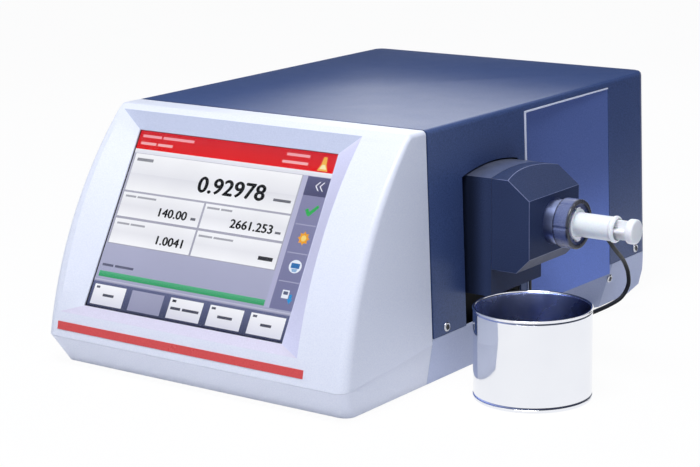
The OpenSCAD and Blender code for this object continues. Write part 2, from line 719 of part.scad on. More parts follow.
module plunger_seal() color("gray") place() at_port() {
    d = syringe_d - 2 * syringe_wall - 2 * run_gap;
    rod_x(seal_x, seal_x + 2, d);
    rod_x(seal_x + 2 - eps, seal_x + seal_len - 2, d - 1.6);
    rod_x(seal_x + seal_len - 2 - eps, seal_x + seal_len, d);
}

// ---- tubes ----
outlet_d = 2.4;
sample_d = 3;
module sample_tube() color("white") place() at_port() difference() {
    rod_x(cell_x1, nozzle_x0, sample_d);
    rod_x(cell_x1 - 1, nozzle_x0 + 1, 1.6);
}
module outlet_tube() color([0.1, 0.1, 0.12]) place() {
    d = outlet_d;
    translate([0, port_y, outlet_z]) rod_x(cell_x1, spigot_x, d);
    translate([spigot_x, port_y, outlet_z]) sphere(d = d);
    translate([spigot_x, port_y, outlet_z]) rod_y(0, spigot_y - port_y, d);
    translate([spigot_x, spigot_y, outlet_z]) sphere(d = d);
    translate([spigot_x, spigot_y, flange_low - 22]) cylinder(h = outlet_z - flange_low + 22, d = d);
}

// ---- lead ----
gland_x = 200;
gland_z = 118;
gland_d = 9;
gland_len = 8.5;
socket_y = 190;
socket_z = 18;
socket_d = 13;
plug_len = 16;
// the lead's route from the gland to the plug, laid down on the bench along the tray
lead_route = [[200, 150, 118], [200, 164.3, 117.6], [200.3, 178.4, 116.2], [200.8, 192.4, 113.4],
    [201.1, 205.7, 108.5], [201.1, 218.1, 101.5], [200.5, 229.6, 93.1], [199.4, 240.6, 84.2], [197.6, 251.9, 75.8],
    [195.1, 263.8, 68.3], [191.8, 275.9, 61.8], [188.1, 288, 55.3], [185.1, 299.2, 47.2], [183.5, 308, 36.3],
    [182.1, 311, 23.5], [178.3, 304.9, 12.3], [171.7, 293.3, 6.2], [165.7, 279.4, 2.8], [164.1, 264.5, 2.1],
    [168.3, 250.4, 2.3], [176.2, 237.7, 3.8], [185.1, 225.8, 6.4], [192.4, 213.1, 10.1], [193.8, 199.6, 14.6],
    [185.4, 190.3, 17.9], [172, 190, 18]];
module lead_gland() color([0.12, 0.12, 0.14]) place() translate([gland_x, port_y + attach_w / 2, gland_z]) {
    y1 = lead_route[0][1] - port_y - attach_w / 2;
    rod_y(fit_gap, 2.5, gland_d);
    translate([0, 2.5 - eps, 0]) rotate([-90, 0, 0]) cylinder(h = y1 - 2.5 + eps, d1 = gland_d - 1.5, d2 = lead_d + 1.2);
    rod_y(-hood_wall, fit_gap + eps, gland_d - 3);
}

// Catmull-Rom points on the route, and a tube of rings square to it
function spline(p, i, t) = let (a = p[max(i - 1, 0)], b = p[i], c = p[i + 1], d = p[min(i + 2, len(p) - 1)])
    0.5 * ((2 * b) + (c - a) * t + (2 * a - 5 * b + 4 * c - d) * t * t + (3 * b - a - 3 * c + d) * t * t * t);
lead_sub = 2;
lead_line = concat([for (i = [0:len(lead_route) - 2]) for (k = [0:lead_sub - 1]) spline(lead_route, i, k / lead_sub)],
    [lead_route[len(lead_route) - 1]]);
function unit(v) = v / norm(v);
function heading(p, i) = i == 0 ? [0, 1, 0] : i == len(p) - 1 ? [-1, 0, 0] : unit(p[i + 1] - p[i - 1]);
// carry one side direction along the line without twist
function carried(p, i) = i == 0 ? [1, 0, 0] :
    let (s = carried(p, i - 1), t = heading(p, i)) unit(s - t * (s * t));
module lead_tube(p, r, n) {
    rings = [for (i = [0:len(p) - 1]) let (t = heading(p, i), u = carried(p, i), v = cross(t, u))
        for (k = [0:n - 1]) p[i] + r * (cos(360 * k / n) * u + sin(360 * k / n) * v)];
    last = len(p) - 1;
    sides = [for (i = [0:last - 1]) for (k = [0:n - 1]) let (a = i * n + k, b = i * n + (k + 1) % n)
        each [[a, b, b + n], [a, b + n, a + n]]];
    caps = [[for (k = [0:n - 1]) n - 1 - k], [for (k = [0:n - 1]) last * n + k]];
    polyhedron(points = rings, faces = [for (f = concat(sides, caps)) [for (j = [len(f) - 1:-1:0]) f[j]]]);
}
module connecting_lead() color([0.08, 0.08, 0.1]) place() lead_tube(lead_line, lead_d / 2, 8);
module lead_plug() color([0.12, 0.12, 0.14]) place() translate([0, socket_y, socket_z]) {
    x0 = body_w / 2 - tray_niche + 2.5;
    x1 = lead_route[len(lead_route) - 1][0];
    rod_x(x0, x0 + plug_len - 4, 10);
    rod_x(x0 + plug_len - 4 - eps, x1, 6);
    rod_x(x0 - 8, x0 + eps, 7);
}
module lead_socket() color("silver") place() translate([0, socket_y, socket_z]) {
    x0 = body_w / 2 - tray_niche;
    difference() {
        union() {
            rod_x(x0 - 14, x0 + 2.2, socket_d - 2);
            rod_x(x0 + fit_gap, x0 + 2.2, socket_d + 2);
        }
        rod_x(x0 - 8, x0 + 3, 7 + 2 * fit_gap);
    }
}

// ---- waste cup ----
module waste_cup() color("silver") place() translate([cup_x, cup_y, 0]) {
    r = cup_d / 2;
    bead = 1.2;
    rotate_extrude($fn = 96) polygon([[0, 0], [r - 2.2, 0], [r - 0.6, 0.6], [r - 0.6, cup_h - 1],
        [r - 0.6 - cup_wall, cup_h - 1], [r - 0.6 - cup_wall, cup_wall + 0.4], [0, cup_wall + 0.4]]);
    rotate_extrude($fn = 96) translate([r - bead, cup_h - bead]) circle(r = bead, $fn = 24);
}

// ---- measuring cell ----
cell_len = 110;
cell_half = 34;
cell_room_half = 9;
cell_end = 8;
leg_hold = 12;
cell_x1 = bracket_x - chassis_t - 19;
cell_x0 = cell_x1 - cell_len;
cell_y0 = port_y - cell_half;
cell_y1 = port_y + cell_half;
cell_z0 = outlet_z - 22;
cell_z1 = port_z + 26;
tube_d = 5;
leg_gap = port_z - outlet_z;
bend_x = cell_x0 + 22;
module cell_room() block(cell_x0 + cell_end, cell_x1 - cell_end, port_y - cell_room_half, port_y + cell_room_half,
    outlet_z - cell_room_half + 1, port_z + cell_room_half + 1);
module cell_block() color("lightsteelblue") place() difference() {
    block(cell_x0, cell_x1, cell_y0, cell_y1, cell_z0, port_z);
    cell_room();
    translate([0, port_y, outlet_z]) rod_x(cell_x1 - leg_hold, cell_x1 + 1, tube_d + 0.02);
    at_port() rod_x(cell_x1 - leg_hold, cell_x1 + 1, tube_d + 0.02);
    translate([cell_x0 + 40, cell_y0 - 1, outlet_z - 14]) rod_y(0, 31, sensor_d + 2 * fit_gap);
}
module cell_lid() color("lightsteelblue") place() difference() {
    block(cell_x0, cell_x1, cell_y0, cell_y1, port_z, cell_z1);
    cell_room();
    at_port() rod_x(cell_x1 - leg_hold, cell_x1 + 1, tube_d + 0.02);
}
module u_tube() color([0.85, 0.92, 0.95]) place() {
    difference() {
        union() {
            for (z = [port_z, outlet_z]) translate([0, port_y, z]) rod_x(bend_x, cell_x1, tube_d);
            intersection() {
                translate([bend_x, port_y, (port_z + outlet_z) / 2]) rotate([90, 0, 0])
                    rotate_extrude() translate([leg_gap / 2, 0]) circle(d = tube_d, $fn = 32);
                block(bend_x - leg_gap, bend_x + eps, port_y - 9, port_y + 9, outlet_z - 9, port_z + 9);
            }
        }
        for (z = [port_z, outlet_z]) translate([0, port_y, z]) rod_x(cell_x1 - 40, cell_x1 + 1, tube_d - 2);
    }
}
sensor_d = 4;
module temperature_sensor() color("silver") place() translate([cell_x0 + 40, cell_y0, outlet_z - 14]) {
    rod_y(-10, 28, sensor_d);
    rod_y(-14, -fit_gap, sensor_d + 4);
}
support_w = 12;
module cell_support() color("silver") place() {
    for (x = [cell_x0 + 6, cell_x1 - 6 - support_w]) {
        block(x, x + support_w, cell_y0, cell_y1, plate_z + chassis_t, plate_z + 2 * chassis_t);
        block(x, x + support_w, cell_y0, cell_y1, cell_z0 - chassis_t, cell_z0);
        block(x, x + support_w, port_y - chassis_t, port_y + chassis_t, plate_z + chassis_t, cell_z0);
    }
}
peltier_t = 4;
peltier_w = 40;
sink_w = 80;
sink_base = 6;
fin_t = 2;
fin_len = 34;
fin_count = 10;
cell_mid = (cell_x0 + cell_x1) / 2;
module peltier_element() color("white") place()
    block(cell_mid - peltier_w / 2, cell_mid + peltier_w / 2, cell_y1, cell_y1 + peltier_t,
        (cell_z0 + cell_z1 - peltier_w) / 2, (cell_z0 + cell_z1 + peltier_w) / 2);
module heat_sink() color("silver") place() {
    y0 = cell_y1 + peltier_t;
    x0 = cell_mid - sink_w / 2;
    block(x0, x0 + sink_w, y0, y0 + sink_base, cell_z0, cell_z1);
    for (i = [0:fin_count - 1]) let (x = x0 + i * (sink_w - fin_t) / (fin_count - 1))
        block(x, x + fin_t, y0 + sink_base - eps, y0 + sink_base + fin_len, cell_z0, cell_z1);
}

// ---- electronics ----
board_z = 44;
board_top = board_z + 1.6;
board_x = [-60, 100] + [1, 1] * (body_w - 330) / 4;
board_y = [216, panel_y0 - 2];
board_holes = [for (x = [board_x[0] + 8, board_x[1] - 8]) for (y = [board_y[0] + 8, board_y[1] - 30]) [x, y]];
module board_standoffs() color("gold") place() for (p = board_holes) translate([p[0], p[1], plate_z + chassis_t])
    cylinder(h = board_z - plate_z - chassis_t, d = 6);
module main_board() color("darkgreen") place() {
    z = board_top;
    y = board_y[0];
    block(board_x[0], board_x[1], y, board_y[1], board_z, z);
    block(-10, 22, y + 40, y + 72, z - eps, z + 3);
    block(44, 64, y + 36, y + 66, z - eps, z + 4);
    for (i = [0:3]) block(-50 + i * 12, -44 + i * 12, y + 10, y + 26, z - eps, z + 9);
    for (i = [0:2]) translate([48 + i * 16, y + 18, z - eps]) cylinder(h = 14, d = 10);
}
psu = [70, 170, 42];
module power_supply() color("silver") place() {
    t = chassis_t;
    translate([-body_w / 2 + chassis_in, cover_d - 61 - psu[1], plate_z + t]) {
        difference() {
            cube(psu);
            translate([t, -t, t]) cube([psu[0] - 2 * t, psu[1], psu[2] - 2 * t]);
        }
        translate([6, 6, t]) cube([psu[0] - 12, psu[1] - 12, 4]);
        for (i = [0:2]) translate([22, 30 + i * 34, t + 4 - eps]) cylinder(h = 26, d = 22);
        translate([38, 30, t + 4 - eps]) cube([24, 40, 28]);
    }
}

// ---- rear ----
fan_x = top_w / 2 - 32 - fan_size / 2;
fan_z = body_h - 54 - fan_size / 2;
fan_hole = fan_size - 4;
inlet_body = inlet_w - 4.1;
mains_x = -top_w / 2 + 42;
mains_z = cover_z + 53.2;
switch_z = mains_z + 54;
// sockets in a row on the main board: places and heights
usb_xs = [-36, -12];
usb_h = 7;
net_x = 20;
net_h = 13.2;
serial_x = 62;
serial_h = 12;
// the rear is closed by a connector plate at the bottom and the rear panel above it
io_top = board_top + net_h + 5;
module rear_plate(z0, z1) intersection() {
    cover_rear_cut(panel_y0, panel_y0 + rear_t, 1.8);
    block(-body_w, body_w, 0, cover_d + 9, z0, z1);
}
module rear_panel() color("slategray") place() difference() {
    rear_plate(io_top + fit_gap, body_h);
    translate([fan_x, 0, fan_z]) rod_y(panel_y0 - 1, panel_y0 + 5, fan_hole);
    for (sx = [-1, 1]) for (sz = [-1, 1]) translate([fan_x + sx * fan_bolt, 0, fan_z + sz * fan_bolt])
        rod_y(panel_y0 - 1, panel_y0 + 5, 4.4);
    block(mains_x - inlet_body / 2 - fit_gap, mains_x + inlet_body / 2 + fit_gap, panel_y0 - 1, panel_y0 + 5,
        mains_z - inlet_h / 2 + 2, mains_z + inlet_h / 2 - 2);
    block(mains_x - switch_w / 2 - fit_gap, mains_x + switch_w / 2 + fit_gap, panel_y0 - 1, panel_y0 + 5,
        switch_z - switch_h / 2 - fit_gap, switch_z + switch_h / 2 + fit_gap);
    // vent slots beside the fan
    for (i = [0:vent_count - 1]) block(vent_x0, vent_x0 + vent_w, panel_y0 - 1, panel_y0 + 5,
        fan_z - 30 + i * 9, fan_z - 26 + i * 9);
    rear_screw_holes();
}
vent_x0 = fan_x - fan_size / 2 - 88;
vent_w = 60;
vent_count = 7;
module io_plate() color("slategray") place() difference() {
    rear_plate(cover_z + 1, io_top);
    for (x = usb_xs) block(x - 7 - fit_gap, x + 7 + fit_gap, panel_y0 - 1, panel_y0 + 5,
        board_top - fit_gap, board_top + usb_h + fit_gap);
    block(net_x - 8 - fit_gap, net_x + 8 + fit_gap, panel_y0 - 1, panel_y0 + 5,
        board_top - fit_gap, board_top + net_h + fit_gap);
    block(serial_x - 9.5, serial_x + 9.5, panel_y0 - 1, panel_y0 + 5,
        board_top + serial_h / 2 - 4.6, board_top + serial_h / 2 + 4.6);
    rear_screw_holes();
}
// two folded uprights behind the rear plates, clear of the tray's rear wall
post_w = 12;
post_x = top_w / 2 - rear_window - 4;
module rear_uprights() color("silver") place() for (s = [-1, 1]) translate([s * post_x, 0, 0]) {
    leg_y = cover_d - chassis_rear - chassis_t;
    z0 = plate_z + chassis_t;
    difference() {
        block(-post_w / 2, post_w / 2, panel_y0 - chassis_t, panel_y0, cover_z + 0.5, body_h - 16);
        for (p = rear_screw_spots) translate([0, 0, p[1]]) rod_y(panel_y0 - 5, panel_y0 + 5, screw_hole - 1);
    }
    block(-post_w / 2, post_w / 2, leg_y, panel_y0, cover_z + 0.5, cover_z + 0.5 + chassis_t);
    block(-post_w / 2, post_w / 2, leg_y, leg_y + chassis_t, z0, cover_z + 0.5 + eps);
    block(-post_w / 2, post_w / 2, leg_y - 12, leg_y + eps, z0, z0 + chassis_t);
}
rear_screw_spots = [for (s = [-1, 1]) for (z = [cover_z + 10, cover_z + 30, body_h - 24]) [s * post_x, z]];
module rear_screw_holes() for (p = rear_screw_spots) translate([p[0], 0, p[1]])
    rod_y(panel_y0 - 1, panel_y0 + 5, screw_hole - 1);
module rear_screws() color("silver") place() for (p = rear_screw_spots)
    translate([p[0], panel_y0 + rear_t, p[1]]) rotate([-90, 0, 0]) {
        cylinder(h = 1.2, d = 6);
        translate([0, 0, -6]) cylinder(h = 6 + eps, d = screw_hole - 1 - 2 * fit_gap);
    }

fan_bolt = fan_size * 0.4469;
rotor_d = fan_size - 7;
hub_d = 32;
fan_y1 = panel_y0;
module at_fan() translate([fan_x, fan_y1, fan_z]) children();
module fan_housing() color([0.1, 0.1, 0.11]) place() at_fan() difference() {
    union() {
        difference() {
            block(-fan_size / 2, fan_size / 2, -fan_depth, 0, -fan_size / 2, fan_size / 2);
            rod_y(-fan_depth - 1, 1, fan_hole);
        }
        // struts and hub on the inner side
        intersection() {
            rod_y(-fan_depth, -fan_depth + 4, fan_hole + 2);
            union() {
                rod_y(-fan_depth, -fan_depth + 4, hub_d);
                for (k = [45:90:359]) rotate([0, k, 0]) block(0, fan_size, -fan_depth, -fan_depth + 3, -2, 2);
            }
        }
        rod_y(-fan_depth + 4 - eps, -fan_depth + 14, 4);
    }
    for (sx = [-1, 1]) for (sz = [-1, 1]) translate([sx * fan_bolt, 0, sz * fan_bolt]) rod_y(-fan_depth - 1, 1, 4.4);
}
module fan_rotor() color([0.1, 0.1, 0.11]) place() at_fan() difference() {
    intersection() {
        rod_y(-fan_depth + 5, -2, rotor_d);
        union() {
            rod_y(-fan_depth + 5, -2, hub_d);
            for (k = [0:360 / 7:359]) rotate([0, k, 0]) translate([0, -fan_depth / 2 + 1.5, 0]) rotate([0, 0, 0])
                rotate([38, 0, 0]) translate([4, -12, -0.7]) cube([fan_size, 24, 1.4]);
        }
    }
    rod_y(-fan_depth, -fan_depth + 14.5, 4 + 2 * run_gap);
}
module finger_guard() color("silver") place() at_fan() {
    wire = 1.6;
    y = rear_t + wire / 2;
    for (d = [22:14:fan_hole]) translate([0, y + 1.1, 0]) rotate([90, 0, 0])
        rotate_extrude() translate([d / 2, 0]) circle(d = wire, $fn = 16);
    for (k = [45, 135]) rotate([0, k, 0]) translate([-fan_bolt * 1.414, y, 0])
        rotate([0, 90, 0]) cylinder(h = 2 * fan_bolt * 1.414, d = wire, $fn = 16);
    for (sx = [-1, 1]) for (sz = [-1, 1]) translate([sx * fan_bolt, 0, sz * fan_bolt]) {
        rod_y(rear_t, rear_t + 2.4, 7);
        rod_y(-10, rear_t + eps, 3.8);
    }
}

// appliance inlet with its fuse drawer above the pins
drawer_h = 14;
module mains_inlet() color([0.1, 0.1, 0.11]) place() translate([mains_x, 0, mains_z]) {
    zc = -inlet_h / 2 + 14;
    difference() {
        union() {
            block(-inlet_w / 2, inlet_w / 2, inlet_y1, inlet_y1 + 2, -inlet_h / 2, inlet_h / 2);
            block(-inlet_body / 2, inlet_body / 2, inlet_y1 - 24, inlet_y1 + eps, -inlet_h / 2 + 2.3, inlet_h / 2 - 2.3);
        }
        block(-10.5, 10.5, inlet_y1 - 16, inlet_y1 + 3, zc - 8.5, zc + 8.5);
        block(-9.6, 9.6, inlet_y1 - 20, inlet_y1 + 3, zc + 11.5, zc + 11.5 + drawer_h);
    }
    for (x = [-6, 6]) block(x - 1, x + 1, inlet_y1 - 24, inlet_y1 - 7, zc - 3.5, zc - 0.5);
    block(-1, 1, inlet_y1 - 24, inlet_y1 - 7, zc + 2, zc + 5);
}
module fuse_drawer() color([0.13, 0.13, 0.14]) place() translate([mains_x, 0, mains_z]) {
    zc = -inlet_h / 2 + 14;
    z0 = zc + 11.5 + fit_gap;
    z1 = zc + 11.5 + drawer_h - fit_gap;
    difference() {
        block(-9.6 + fit_gap, 9.6 - fit_gap, inlet_y1 - 19, inlet_y1 + 2.4, z0, z1);
        block(-7, 7, inlet_y1 - 16, inlet_y1 - 2, z0 + 3, z1 + 1);
        block(-4, 4, inlet_y1 + 1.4, inlet_y1 + 3, z0 + 4, z0 + 7);
    }
}
switch_w = 13;
switch_h = 19;
rocker_tilt = 8;
pin_y = inlet_y1 - 2;
pin_d = 2;
module switch_frame() color([0.1, 0.1, 0.11]) place() translate([mains_x, 0, switch_z]) {
    w = switch_w / 2;
    h = switch_h / 2;
    difference() {
        union() {
            block(-w - 1, w + 1, inlet_y1, inlet_y1 + 1.2, -h - 1.5, h + 1.5);
            block(-w, w, inlet_y1 - 12, inlet_y1 + eps, -h, h);
        }
        block(-w + 0.9, w - 0.9, inlet_y1 - 10, inlet_y1 + 2, -h + 0.8, h - 0.8);
    }
    translate([0, pin_y, 0]) rod_x(-w + 0.5, w - 0.5, pin_d);
}
// rocker: a shallow roof over its pin, pressed in at its upper half
module power_switch() color("black") place() translate([mains_x, pin_y, switch_z]) rotate([rocker_tilt, 0, 0]) difference() {
    along_x(-switch_w / 2 + 1.2, switch_w / 2 - 1.2)
        polygon([[-5, -switch_h / 2 + 3.4], [3.4, -switch_h / 2 + 1.6], [2.4, 0], [3.4, switch_h / 2 - 1.6], [-5, switch_h / 2 - 3.4]]);
    rod_x(-switch_w, switch_w, pin_d + 2 * run_gap);
}
module usb_sockets() color("silver") place() for (x = usb_xs) translate([x, 0, board_top + usb_h / 2]) difference() {
    block(-7, 7, inlet_y1 - 14, inlet_y1 + 0.5, -usb_h / 2, usb_h / 2);
    block(-6.3, 6.3, inlet_y1 - 10, inlet_y1 + 2, -2.6, 2.6);
}
module network_socket() color("silver") place() translate([net_x, 0, board_top + net_h / 2]) difference() {
    block(-8, 8, inlet_y1 - 20, inlet_y1 + 0.5, -net_h / 2, net_h / 2);
    block(-5.9, 5.9, inlet_y1 - 13, inlet_y1 + 2, -4, 4);
}
module serial_socket() color("silver") place() translate([serial_x, 0, board_top + serial_h / 2]) {
    block(-15.4, 15.4, panel_y0 - 1.2, panel_y0, -serial_h / 2, serial_h / 2);
    along_y(panel_y0 - eps, inlet_y1 + rear_reach) polygon([[-9, 4.2], [9, 4.2], [7.6, -4.2], [-7.6, -4.2]]);
    block(-14, 14, panel_y0 - 12, panel_y0 - 1, -serial_h / 2, serial_h / 2);
}

base_tray();
rubber_feet();
front_skirt();
front_bezel();
accent_strip();
touch_glass();
display_panel();
display_bracket();
display_board();
top_cover();
side_panel();
cover_screws();
chassis_plate();
front_frame();
side_bracket();
rear_panel();
io_plate();
rear_uprights();
rear_screws();
attachment_flange();
attachment_hood();
heater_rod();
port_barrel();
clamp_ring();
port_adapter();
inlet_nozzle();
sample_tube();
outlet_tube();
lead_gland();
connecting_lead();
lead_plug();
lead_socket();
syringe_barrel();
syringe_plunger();
plunger_seal();
waste_cup();
cell_block();
cell_lid();
u_tube();
temperature_sensor();
cell_support();
peltier_element();
heat_sink();
main_board();
board_standoffs();
power_supply();
fan_housing();
fan_rotor();
finger_guard();
mains_inlet();
fuse_drawer();
switch_frame();
power_switch();
usb_sockets();
network_socket();
serial_socket();
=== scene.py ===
# Benchtop density meter, dressed for the camera: a curved bezel with a touch screen, a slate blue
# sheet cover, a heated filling attachment with a syringe in its port, and a loose waste cup.
import math
import bmesh
import bpy
import numpy as np
from mathutils import Matrix


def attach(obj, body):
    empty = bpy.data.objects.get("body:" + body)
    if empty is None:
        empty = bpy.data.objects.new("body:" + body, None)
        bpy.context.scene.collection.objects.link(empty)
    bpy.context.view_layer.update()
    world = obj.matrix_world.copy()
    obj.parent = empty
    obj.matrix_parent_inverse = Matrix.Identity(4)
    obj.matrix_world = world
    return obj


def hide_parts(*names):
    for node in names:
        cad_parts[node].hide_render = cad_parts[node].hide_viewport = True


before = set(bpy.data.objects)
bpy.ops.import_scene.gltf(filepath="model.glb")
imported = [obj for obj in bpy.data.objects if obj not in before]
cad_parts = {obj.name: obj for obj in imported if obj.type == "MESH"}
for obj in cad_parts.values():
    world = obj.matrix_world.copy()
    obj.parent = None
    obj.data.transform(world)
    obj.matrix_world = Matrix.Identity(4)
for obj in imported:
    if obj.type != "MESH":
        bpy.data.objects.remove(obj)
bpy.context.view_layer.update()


# ---- viewpoint ----
# The instrument is seen from its front right, a little above its lid, through a long lens.
stand = np.array([-69.5, -126.7, 0.0])


def metres(points):
    """Scene metres of points given in the instrument's own millimetres: the place of its origin is
    added, then the sum is divided by a thousand."""
    return (np.asarray(points, float) + stand) / 1000.0


def placed(name, data):
    """A new object with its data, in the scene."""
    thing = bpy.data.objects.new(name, data)
    bpy.context.scene.collection.objects.link(thing)
    return thing


yaw, pitch, roll = -0.63986, -0.23562, -0.01858
eye = metres([1084.75, -1360.22, 524.0])
# the picture's width and height, the focal length and the lens axis, all in pixels
view_w, view_h, focal, axis_x, axis_y = 700, 467, 2014.86, 343.57, 240.84
ahead = np.array([math.sin(yaw) * math.cos(pitch), math.cos(yaw) * math.cos(pitch), math.sin(pitch)])
level = np.cross(ahead, [0, 0, 1]) / math.cos(pitch)
over = np.cross(level, ahead)
right = level * math.cos(roll) + over * math.sin(roll)
upward = over * math.cos(roll) - level * math.sin(roll)
camera = placed("viewpoint", bpy.data.cameras.new("viewpoint"))
camera.data.lens = focal * camera.data.sensor_width / view_w
camera.data.shift_x = (view_w / 2 - axis_x) / view_w
camera.data.shift_y = (axis_y - view_h / 2) / view_w
camera.data.clip_end = 20
camera.matrix_world = Matrix(np.vstack([np.column_stack([right, upward, -ahead, eye]), [0, 0, 0, 1]]).tolist())
bpy.context.scene.camera = camera
bpy.context.scene.view_settings.view_transform = "Standard"


# ---- attachment's lead ----
# A thin round lead feeds the heater in the attachment. It drops from its gland to the bench, runs
# back along the tray and turns round into its plug in the tray's niche.
def add(tree, kind, values=None, **settings):
    """One shader node with its settings, whose inputs are given as numbers, colours or outputs to join."""
    made = tree.nodes.new("ShaderNode" + kind)
    for key, value in settings.items():
        setattr(made, key, value)
    for key, value in (values or {}).items():
        if isinstance(value, bpy.types.NodeSocket):
            tree.links.new(value, made.inputs[key])
        else:
            made.inputs[key].default_value = value
    return made


def effect(name, inputs, outputs):
    """An empty node group with named inputs and outputs, and its two end nodes."""
    group = bpy.data.node_groups.new(name, "ShaderNodeTree")
    for label, kind, value in inputs:
        made = group.interface.new_socket(name=label, in_out="INPUT", socket_type="NodeSocket" + kind)
        if value is not None:
            made.default_value = value
    for label, kind in outputs:
        group.interface.new_socket(name=label, in_out="OUTPUT", socket_type="NodeSocket" + kind)
    return group, group.nodes.new("NodeGroupInput").outputs, group.nodes.new("NodeGroupOutput").inputs


def grain_effect():
    """Surface of a moulded or painted skin. Fine: noise at Size cells a metre. Cloud: noise at a
    fortieth of that, for uneven gloss. Top cloud: cloud times the part of the face that looks up, for
    a pale veil that is settled dirt on most finishes and painted light from above on the flange."""
    group, given, out = effect("surface grain", [("Vector", "Vector", None), ("Size", "Float", 800.0)],
                               [("Fine", "Float"), ("Cloud", "Float"), ("Top cloud", "Float")])
    place = given["Vector"]
    fine = add(group, "TexNoise", {"Vector": place, "Scale": given["Size"], "Detail": 2.0, "Roughness": 0.55})
    slow = add(group, "Math", {0: given["Size"], 1: 1 / 40}, operation="MULTIPLY")
    cloud = add(group, "TexNoise", {"Vector": place, "Scale": slow.outputs[0], "Detail": 4.0, "Roughness": 0.6})
    up = add(group, "SeparateXYZ", {0: add(group, "NewGeometry").outputs["Normal"]})
    dust_and_top_light = add(group, "Math", {0: up.outputs[2], 1: cloud.outputs["Fac"]}, operation="MULTIPLY", use_clamp=True)
    group.links.new(fine.outputs["Fac"], out["Fine"])
    group.links.new(cloud.outputs["Fac"], out["Cloud"])
    group.links.new(dust_and_top_light.outputs[0], out["Top cloud"])
    return group


grain = grain_effect()


def linear(code):
    """Linear colour of a six digit sRGB code, by the sRGB curve."""
    c = np.array([int(code[i:i + 2], 16) for i in (0, 2, 4)]) / 255
    return (*np.where(c < 0.04045, c / 12.92, ((c + 0.055) / 1.055) ** 2.4).tolist(), 1.0)


def faded(tree, colour, fade):
    """The colour scaled by a factor that runs from 1 to the fade's last value between two distances from
    the middle along an axis. Fade holds the axis, the middle, the two distances and that factor."""
    axis, middle, near, far, factor = fade
    along = add(tree, "SeparateXYZ", {0: add(tree, "TexCoord").outputs["Object"]}).outputs[axis]
    offset = add(tree, "Math", {0: along, 1: middle}, operation="SUBTRACT")
    away = add(tree, "Math", {0: offset.outputs[0]}, operation="ABSOLUTE")
    strength = add(tree, "MapRange", {0: away.outputs[0], 1: near, 2: far, 3: 1.0, 4: factor},
                   interpolation_type="SMOOTHSTEP")
    return add(tree, "VectorMath", {0: colour, 3: strength.outputs[0]}, operation="SCALE").outputs[0]


def plain(name, **shader):
    """A material whose shader has the given inputs, then its node tree and its shader."""
    material = bpy.data.materials.new(name)
    material.use_nodes = True
    skin = material.node_tree.nodes["Principled BSDF"]
    for key, value in shader.items():
        skin.inputs[key.replace("_", " ")].default_value = value
    return material, material.node_tree, skin


# noise seldom leaves this range, so it is stretched to run from end to end
noise_ends = {1: 0.3, 2: 0.7}


def dressed(tree, skin, colour, uneven, rough, height, depth):
    """Joins a skin to its shader: the colour, a roughness that runs between its two ends with the uneven
    value, and a normal lifted by depth metres with the height."""
    tree.links.new(colour, skin.inputs["Base Color"])
    gloss = add(tree, "MapRange", {0: uneven, **noise_ends, 3: rough[0], 4: rough[1]})
    tree.links.new(gloss.outputs[0], skin.inputs["Roughness"])
    lift = add(tree, "Bump", {"Strength": 1.0, "Distance": depth, "Height": height})
    tree.links.new(lift.outputs[0], skin.inputs["Normal"])


def moulded(name, dark, light, rough=(0.4, 0.55), size=800.0, depth=0.00004, dust_and_top_light=0.0, fade=None, **shader):
    """A plastic, rubber or painted finish: the base colour runs from dark to light with the fine grain,
    is scaled by a fade and gets paler under a pale veil on up-facing faces, settled dirt on most
    finishes and painted light from above on the flange. The roughness follows the cloud, and the fine
    grain lifts the normal by depth metres."""
    material, tree, skin = plain(name, **shader)
    place = add(tree, "TexCoord").outputs["Object"]
    marks = add(tree, "Group", node_tree=grain, values={"Vector": place, "Size": size}).outputs
    tone = add(tree, "MapRange", {0: marks["Fine"], **noise_ends})
    colour = add(tree, "Mix", {0: tone.outputs[0], 6: linear(dark), 7: linear(light)}, data_type="RGBA").outputs[2]
    if fade:
        colour = faded(tree, colour, fade)
    if dust_and_top_light:
        veil = add(tree, "Math", {0: marks["Top cloud"], 1: dust_and_top_light}, operation="MULTIPLY")
        grey = (0.62, 0.68, 0.9, 1)
        colour = add(tree, "Mix", {0: veil.outputs[0], 6: colour, 7: grey}, data_type="RGBA").outputs[2]
    dressed(tree, skin, colour, marks["Cloud"], rough, marks["Fine"], depth)
    return material


def quads(rows, cols, wrap_rows=False, wrap_cols=False):
    """Faces of a grid of rows times cols points, each from a point to its neighbours in the next
    column and row, and round from the last to the first where the grid wraps."""
    i = np.arange(rows if wrap_rows else rows - 1)[:, None]
    j = np.arange(cols if wrap_cols else cols - 1)[None, :]
    k, m = (i + 1) % rows, (j + 1) % cols
    return np.stack(np.broadcast_arrays(i * cols + j, i * cols + m, k * cols + m, k * cols + j), -1).reshape(-1, 4)


def soften(piece, width, segments, angle):
    """A bevel of width millimetres along every edge of the piece that is sharper than the angle."""
    edge = piece.modifiers.new("edge", "BEVEL")
    edge.width, edge.segments, edge.limit_method = width / 1000, segments, "ANGLE"
    edge.angle_limit = math.radians(angle)
    edge.harden_normals = True
    return edge


